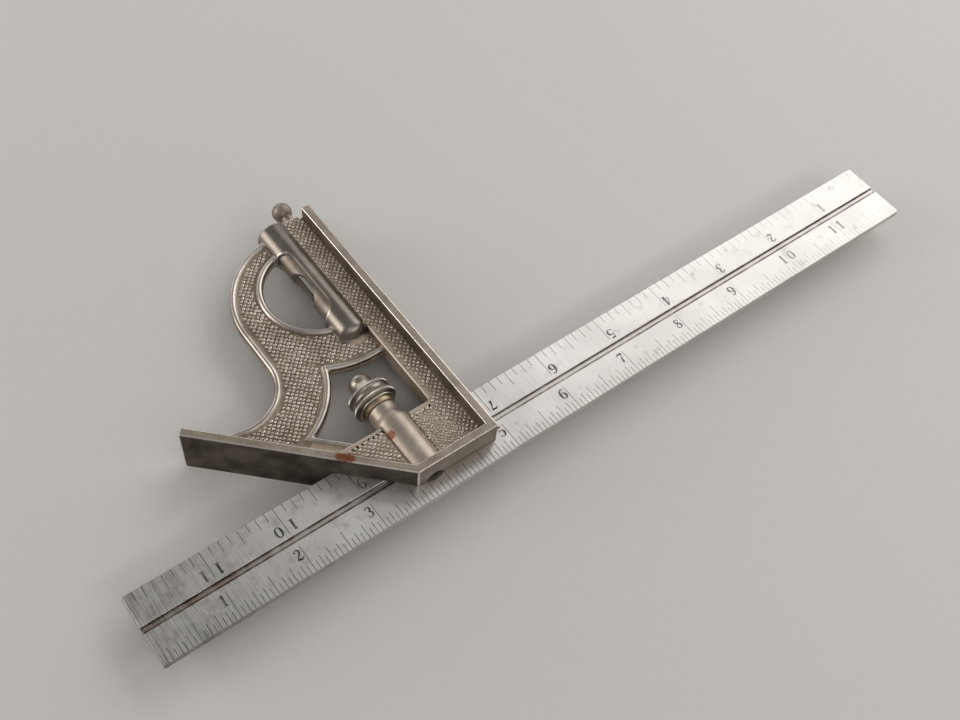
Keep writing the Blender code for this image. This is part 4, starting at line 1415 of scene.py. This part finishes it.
FIGURES["9"] = strokes(
    *([(FIGURE_WIDTH - x, 1 - y, half) for x, y, half in stroke.points] for stroke in FIGURES["6"])
)


@dataclass
class Rule:
    """The sliding rule: a ground bar with a groove, engraved in sixteenths and eighths of an inch."""

    square: Square
    length: float = 304.8 * MM
    width: float = 25.4 * MM
    thickness: float = 2.4 * MM
    set_back: float = 122.4 * MM
    groove_y: float = -12.6 * MM
    groove_width: float = 2.3 * MM
    groove_depth: float = 0.9 * MM
    eased: float = 0.22 * MM
    corner: float = 1.0 * MM
    line: float = 0.2 * MM
    depth: float = 0.1 * MM
    figure: float = 3.9 * MM
    inches: int = 12

    @property
    def left(self) -> float:
        """x of the rule's left end."""
        return -self.set_back

    @property
    def right(self) -> float:
        """x of the rule's right end."""
        return self.length - self.set_back

    @property
    def top(self) -> float:
        """z of the rule's upper face."""
        return self.thickness / 2

    def bar(self) -> Piece:
        """Models the grooved bar with eased edges and rounded corners at its far end."""
        wall = [(1.0, 0.0), (0.96, 0.3), (0.88, 0.65), (0.8, 0.85), (0.7, 0.96), (0.58, 1.0)]
        flank = [(share * self.groove_width / 2, self.top - fall * self.groove_depth) for share, fall in wall]
        near = [(self.groove_y + y, z) for y, z in flank]
        far = [(self.groove_y - y, z) for y, z in reversed(flank)]
        face = [(0, self.top), *near, *far, (-self.width, self.top)]
        section = [(0, -self.top), *face, (-self.width, -self.top)]
        bar = drawn("engraved_rule", [(self.left, y, z) for y, z in section], (self.length, 0, 0))
        inner, outer = self.right - self.corner, self.right + 2 * self.corner
        quarter = arc((inner, -self.corner), self.corner, 0, QUARTER, 8)
        ring = [*quarter, (inner, 2 * self.corner), (outer, 2 * self.corner), (outer, -self.corner)]
        mirrored = [(x, -self.width - y) for x, y in ring]
        cut(bar, *(plate("corner", points, -self.width, self.width) for points in (ring, mirrored)))
        ease(bar, self.eased)
        return bar

    def ticks(self) -> Piece:
        """Models the cutter for all the scale lines, which thin out towards the worn end."""
        lower = {16: 9.9, 8: 6.9, 4: 5.35, 2: 4.3, 1: 3.15}
        upper = {8: 9.9, 4: 5.7, 2: 4.3, 1: 3.3}
        deselect()
        bpy.ops.mesh.primitive_cube_add(size=1)
        tick = bpy.context.object
        boxes = []
        for lengths, edge, inward, start, way in (
            (lower, -self.width, 1, self.left, 1),
            (upper, 0.0, -1, self.right, -1),
        ):
            parts = max(lengths)
            for k in range(1, self.inches * parts):
                x = start + way * k * INCH / parts
                reach = next(length for part, length in lengths.items() if k % part == 0) * MM
                worn = max(0.0, (x - self.left) / self.length - 0.45)
                box = tick.copy()
                box.data = tick.data.copy()
                box.scale = (self.line * (1 - 1.2 * worn), reach + MM, self.depth * 3)
                box.location = (x, edge + inward * (reach - MM) / 2, self.top + self.depth / 2)
                bpy.context.scene.collection.objects.link(box)
                boxes.append(box)
        bpy.data.objects.remove(tick)
        cutter = join("ticks", *boxes)
        bpy.ops.object.transform_apply(location=True, rotation=True, scale=True)
        return cutter

    def numerals(self) -> Iterator[Piece]:
        """Models the cutters for the figures, one for each stroke in turn so that none overlaps itself."""
        middle = FIGURE_WIDTH / 2 * self.figure
        rings: list[tuple[int, list[Point]]] = []
        for number in range(1, self.inches):
            text = str(number)
            for way, x, y, pair in (
                (1, self.left + number * INCH, -self.width + 5.6 * MM, 4.0 * MM),
                (-1, self.right - number * INCH, -6.2 * MM, 5.0 * MM),
            ):
                for i, digit in enumerate(text):
                    begin = pair * (i - 0.5) - middle if len(text) == 2 else -3.02 * MM
                    for order, stroke in enumerate(FIGURES[digit]):
                        ring = [
                            (x + way * (begin + right * self.figure), y + way * up * self.figure)
                            for right, up in stroke.edge()
                        ]
                        rings.append((order, ring))
        low, high = self.top - self.depth, self.top + self.depth
        for turn in range(max(order for order, _ in rings) + 1):
            pieces = [plate("stroke", ring, low, high) for order, ring in rings if order == turn]
            yield join(f"strokes_{turn}", *pieces)

    def in_figure(self, x: float, y: float) -> bool:
        """Whether an engraved spot belongs to a figure and not to a scale line."""
        phase = (x - self.left) / INCH % 1.0
        band = -self.width + 5.5 * MM < y < -self.width + 9.6 * MM or -10.2 * MM < y < -6.1 * MM
        return band and 0.012 < min(phase, 1 - phase) < 0.35

    def mark_engraving(self, mesh: bpy.types.Mesh) -> None:
        """Gives the floors and walls of the scale lines the second finish, and those of figures the third."""
        floor = self.top - self.depth
        hair = 1e-6
        for face in mesh.polygons:
            lowest = min(mesh.vertices[i].co.z for i in face.vertices)
            sunk = floor - hair < lowest < self.top - self.depth / 2
            in_groove = abs(face.center.y - self.groove_y) < self.groove_width / 2 + hair
            flat = abs(face.normal.z) > 0.99 and abs(face.center.z - floor) < hair
            wall = abs(face.normal.z) < 0.05 and abs(face.center.y + self.width / 2) < self.width / 2 - hair
            if sunk and not in_groove and (flat or wall):
                face.material_index = 2 if self.in_figure(*face.center.xy) else 1

    def build(self, *finishes: Material) -> None:
        """Builds the rule in steel, with one finish for its lines and one for its figures."""
        bar = self.bar()
        cut(bar, self.ticks(), *self.numerals())
        self.mark_engraving(dress(bar, *finishes).data)
        smooth(bar, 30)
        keep_flat(bar)
        self.square.settle(bar, "rule", "rule_steel", "blade")


@dataclass
class Clamp:
    """The clamp: a knurled nut with a finial, on a pale ring above the boss."""

    square: Square
    x: float = -24.0 * MM
    base: float = 13.2 * MM
    bore: float = 2.55 * MM
    bore_end: float = 10.4 * MM
    rim: float = 7.9 * MM
    rim_rise: float = 1.05 * MM
    top_rim: float = 7.6 * MM
    top_rise: float = 5.2 * MM
    shoulder_rise: float = 0.9 * MM
    bell_rise: float = 3.46 * MM
    ball: float = 4.0 * MM
    teeth: int = 88
    tooth: float = 0.2 * MM
    knurl_from: float = 7.12 * MM
    rubbed_from: float = 7.3 * MM
    ring_low: float = 11.15 * MM
    ring_high: float = 13.05 * MM

    def profile(self) -> list[Point]:
        """Half the nut's section: lipped base, two rims round a ridged waist, and a bell-shaped finial."""
        # Radius and rise of each point, in millimetres
        lip = ((5.72, 0.0), (5.72, -0.42), (5.82, -0.55), (6.46, -0.55), (6.6, -0.42))
        lip += ((6.6, -0.16), (6.48, 0.02), (6.6, 0.14), (7.1, 0.28), (7.36, 0.42))
        waist = ((7.15, 0.66), (6.95, 0.78), (7.0, 0.88), (7.28, 0.98), (7.28, 1.08))
        waist += ((6.98, 1.18), (6.95, 1.26), (7.16, 1.36), (7.16, 1.46), (6.85, 1.58))
        waist += ((6.62, 1.8), (6.55, 2.3), (6.56, 2.8), (6.72, 3.25), (7.1, 3.55))
        crown = ((6.9, 0.6), (6.0, 0.72))
        bell = ((5.4, 0.0), (5.02, 0.75), (4.66, 1.5), (4.36, 2.2), (4.12, 2.85))

        def raised(points: Sequence[Point], y: float) -> list[Point]:
            """Points above a height."""
            return [(radius * MM, y + rise * MM) for radius, rise in points]

        def edge(radius: float, y: float, half: float, side: float = 0.34 * MM) -> list[Point]:
            """Points round a rim's edge."""
            turns = (math.pi * i / 10 for i in range(11))
            return [(radius - side * (1 - math.sin(a)), y - half * math.cos(a)) for a in turns]

        rim_y, top_y = self.base + self.rim_rise, self.base + self.top_rise
        shoulder = top_y + self.shoulder_rise
        ball_y = shoulder + self.bell_rise
        end = self.base + self.bore_end
        turns = (QUARTER * (1 + i / 16) for i in range(16))
        return [
            (0, end),
            (self.bore, end),
            (self.bore, self.base),
            *raised(lip, self.base),
            *edge(self.rim, rim_y, 0.46 * MM),
            *raised(waist, rim_y),
            *edge(self.top_rim, top_y, 0.42 * MM),
            *raised(crown, top_y),
            *raised(bell, shoulder),
            *((self.ball * math.sin(a), ball_y - self.ball * math.cos(a)) for a in turns),
            (0, ball_y + self.ball),
        ]

    def nut(self) -> Piece:
        """Models the nut, with teeth pressed in: rims painted light as highlight and wear, teeth dark as
        shade and old oil.
        """
        nut = turned("knurled_nut", self.profile(), self.x, self.teeth * 2)
        spots = spots_of(nut)
        axis = np.array((self.x, 0), np.float32)
        across = spots[:, [0, 2]] - axis
        radius = np.hypot(*across.T)
        turn = np.round(np.arctan2(across[:, 1], across[:, 0]) / (math.pi / self.teeth)).astype(int)
        pressed = (radius > self.knurl_from) & (turn % 2 == 1)
        share = np.where(pressed, 1 - self.tooth / np.maximum(radius, MM), 1.0)[:, None]
        spots[:, [0, 2]] = across * share + axis
        move_spots(nut, spots)
        relief = relief_of(nut, 0.5 * MM)
        # Painted highlight with some wear on the outer rims; painted shade with some old oil in the pressed
        # teeth.
        relief[radius > self.rubbed_from] += 0.7
        relief[pressed] -= 1.1
        store(nut, "relief", relief)
        smooth(nut, 50)
        return nut

    def washer(self) -> Piece:
        """Models the pale ring under the nut, with eased edges."""
        low, high, e = self.ring_low, self.ring_high, 0.2 * MM
        profile = [
            (self.bore, low),
            (5.4 * MM - e, low),
            (5.4 * MM, low + e),
            (5.42 * MM, low + 0.7 * MM),
            (5.5 * MM, high - 3 * e),
            (5.6 * MM, high - e),
            (5.5 * MM, high),
            (self.bore, high),
        ]
        ring = turned("pale_ring", profile, self.x)
        smooth(ring, 50)
        return ring

    def build(self, nut_steel: Material, brass: Material) -> None:
        """Builds the clamp's visible pieces."""
        self.square.settle(dress(self.nut(), nut_steel), "clamp_nut", "nut_steel", "lock_nut")
        self.square.settle(dress(self.washer(), brass), "head", "washer_brass", "nut_washer")


@dataclass
class Level:
    """The level in the barrel: a scooped tube round a glass vial."""

    square: Square
    x: float = -14.4 * MM
    low: float = 44.7 * MM
    high: float = 91.7 * MM
    middle: float = 66.1 * MM
    radius: float = 4.6 * MM
    bore: float = 3.8 * MM
    scoop: float = 11.4 * MM
    scoop_depth: float = 2.8 * MM
    vial_half: float = 16.0 * MM
    vial_outer: float = 3.65 * MM
    vial_inner: float = 3.0 * MM

    def tube(self) -> Piece:
        """Models the tube with its scooped window."""
        low, high = self.low, self.high
        profile = [(self.bore, low), (self.radius, low), (self.radius, high), (self.bore, high)]
        tube = turned("level_sleeve", profile, self.x)
        centre = (self.x - self.radius + self.scoop_depth - self.scoop, self.middle)
        turn = math.acos(1 - 2 * self.scoop_depth / self.scoop)
        cut(tube, plate("scoop", arc(centre, self.scoop, -turn, turn), -self.scoop, self.scoop))
        smooth(tube, 40)
        return tube

    def vial(self) -> Piece:
        """Models the glass, with eased rims."""
        low, high, e = self.middle - self.vial_half, self.middle + self.vial_half, 0.2 * MM
        inner, outer = self.vial_inner, self.vial_outer
        lower = [(inner, low), (outer - e, low), (outer, low + e)]
        upper = [(outer, high - e), (outer - e, high), (inner, high)]
        glass = turned("glass_vial", lower + upper, self.x, 64)
        smooth(glass, 40)
        return glass

    def build(self, tube_steel: Material, glass: Material) -> None:
        """Builds the level's visible pieces."""
        self.square.settle(dress(self.tube(), tube_steel), "head", "tube_steel", "level_tube")
        self.square.settle(dress(self.vial(), glass), "head", "vial_glass", "level_vial")


@dataclass
class Scriber:
    """The scriber's ball on its stem."""

    square: Square
    x: float = -5.95 * MM
    base: float = 93.9 * MM
    stem: float = 1.9 * MM
    stem_length: float = 2.6 * MM
    ball: float = 3.6 * MM
    ball_y: float = 100.32 * MM
    bore: float = 1.35 * MM

    def knob(self) -> Piece:
        """Models the ball on its stem."""
        start = math.asin(self.stem / self.ball)
        turns = (start + (math.pi - start) * i / 28 for i in range(28))
        socket = self.ball_y + 0.3 * MM
        profile = [
            (0, socket),
            (self.bore, socket),
            (self.bore, self.base),
            (self.stem - 0.1 * MM, self.base),
            (self.stem, self.base + 0.15 * MM),
            (self.stem, self.base + self.stem_length),
            *((self.ball * math.sin(a), self.ball_y - self.ball * math.cos(a)) for a in turns),
            (0, self.ball_y + self.ball),
        ]
        knob = turned("scriber_knob", profile, self.x, 64)
        smooth(knob, 50)
        return knob

    def build(self, steel: Material) -> None:
        """Builds the knob."""
        self.square.settle(dress(self.knob(), steel), "scriber", "ball_steel", "scriber_ball")


@dataclass
class Studio:
    """The floor, the soft lamps and the camera."""

    floor_colours: tuple[str, str] = ("#d4d1cd", "#d8d5d1")
    mottle_mm: float = 2.5
    room: float = 0.28
    lens: float = 48.68782
    camera_at: tuple[float, float, float] = (-0.180337, -0.215491, 0.364278)
    camera_turn: tuple[float, float, float] = (34.79423, -3.43809, -36.71726)

    def floor(self) -> None:
        """Lays the floor of pale card, with a faint mottle."""
        deselect()
        bpy.ops.mesh.primitive_plane_add(size=6.0)
        floor = bpy.context.object
        floor.name = "floor"
        nodes = Nodes("pale_card")
        colour = nodes.mix(nodes.noise(self.mottle_mm, 3.0), *self.floor_colours)
        floor.data.materials.append(nodes.finish({"Base Color": colour, "Roughness": 0.6}))

    def lamp(self, name: str, at: Sequence[float], size: Point, level: float, colour: str) -> None:
        """Hangs a softbox that faces the object and looks that many times as bright as white."""
        data = bpy.data.lights.new(name, "AREA")
        data.shape = "RECTANGLE"
        data.size, data.size_y = size
        data.energy = level * math.pi * data.size * data.size_y
        data.color = linear(colour)[:3]
        lamp = bpy.data.objects.new(name, data)
        lamp.location = at
        lamp.rotation_euler = (Vector((0, 0, 0)) - Vector(at)).to_track_quat("-Z", "Y").to_euler()
        bpy.context.scene.collection.objects.link(lamp)

    def camera(self) -> None:
        """Sets the camera at the photograph's place."""
        data = bpy.data.cameras.new("camera")
        data.lens = self.lens
        data.sensor_width = 36.0
        data.sensor_fit = "HORIZONTAL"
        data.clip_start = 0.01
        camera = bpy.data.objects.new("camera", data)
        camera.location = self.camera_at
        camera.rotation_euler = Euler([math.radians(turn) for turn in self.camera_turn])
        bpy.context.scene.collection.objects.link(camera)
        bpy.context.scene.camera = camera

    def build(self) -> None:
        """Builds the studio."""
        self.camera()
        self.floor()
        self.lamp("right_softbox", (0.85, 0.13, 0.58), (0.98, 0.85), 1.75, "#fffdfb")
        self.lamp("left_softbox", (-0.75, 0.52, 0.34), (0.5, 0.5), 3.4, "#fffaf5")
        self.lamp("front_softbox", (-0.35, -0.65, 0.85), (0.7, 0.7), 0.7, "#ffffff")
        self.lamp("edge_strip", (0.25, -0.80, 0.58), (0.9, 0.13), 4.2, "#fffaf4")
        self.lamp("back_strip", (0.15, 1.00, 0.22), (1.2, 0.28), 1.8, "#ffffff")
        self.lamp("top_card", (0.53, 0.49, 0.69), (0.3, 0.3), 1.0, "#ffffff")
        world = bpy.data.worlds.new("soft_room")
        world.use_nodes = True
        background = world.node_tree.nodes["Background"]
        background.inputs["Color"].default_value = linear("#ffffff")
        background.inputs["Strength"].default_value = self.room
        bpy.context.scene.world = world
        bpy.context.scene.view_settings.view_transform = "Standard"


def main() -> None:
    """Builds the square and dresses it."""
    logging.basicConfig(level=logging.INFO, format="%(message)s")
    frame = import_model()
    Studio().build()
    square = Square.from_frame()
    origin = square.origin
    rule = Rule(square)
    mitre_rust = ((-47.0, -0.5, 9.5, 1.6), (-45.8, -1.8, 9.5, 2.0), (-44.6, -3.0, 9.5, 1.6))
    iron = CastNickel(
        rust_spots=square.blemishes((-28.1, -0.6, 4.6, 1.8), *mitre_rust),
        # Darker patches on the boss's shoulder, where it turns into the neck.
        soot_spots=square.blemishes((-21.6, 7.2, 4.9, 1.8), (-20.6, 5.6, 4.9, 1.6)),
    ).make()
    rule_steel = GroundSteel(
        top=origin.z + rule.top, groove_y=origin.y + rule.groove_y, stained_end=origin.x + rule.left
    ).make()
    lines = Engraving("line_wax", origin.x, origin.x + 140 * MM, 0.92).make()
    figures = Engraving("figure_wax", origin.x + 20 * MM, origin.x + 180 * MM, 0.62).make()
    nut_steel = TurnedMetal("worn_nut_steel", "#b8afa5", "#938980", "#382b22").make()
    brass = TurnedMetal("pale_brass", "#c3b294", "#a39479", "#5a4d3d", roughness=(0.42, 0.54)).make()
    bare_steel = TurnedMetal("turned_steel", "#b9b6b2", "#8d8a86", "#4b4744").make()
    tube = TurnedMetal("worn_tube_steel", "#a0968b", "#7d736a", "#41362c", roughness=(0.42, 0.56)).make()
    ball = TurnedMetal("worn_knob_steel", "#a89e93", "#867c72", "#3f342b", roughness=(0.46, 0.6)).make()
    bush_brass = TurnedMetal("bush_brass", "#c9a65c", "#9c7d3f", "#574322").make()
    glass = Clear("vial_glass", "#8d7f6b", "#5d5142", 1.5, 0.6, 0.16).make()
    spirit = Clear("vial_spirit", "#c7a94a", "#a88a36", 1.36, 0.9, 0.02).make()
    plaster = Matt("vial_plaster", "#d9d4c8", "#b7b0a0", 2.0, 0.85).make()
    SquareHead(square).build(iron)
    rule.build(rule_steel, lines, figures)
    Clamp(square).build(nut_steel, brass)
    Level(square).build(tube, glass)
    Scriber(square).build(ball)
    for node, material in (
        ("lock_bolt", bare_steel),
        ("lock_spring", bare_steel),
        ("vial_spirit", spirit),
        ("vial_bed_upper", plaster),
        ("vial_bed_lower", plaster),
        ("barrel_plug", nut_steel),
        ("scriber_pin", bare_steel),
        ("scriber_bush", bush_brass),
    ):
        dress(frame["nodes"][node], material)
        log.info("%s: dressed in %s", node, material.name)


if __name__ == "__main__":
    main()
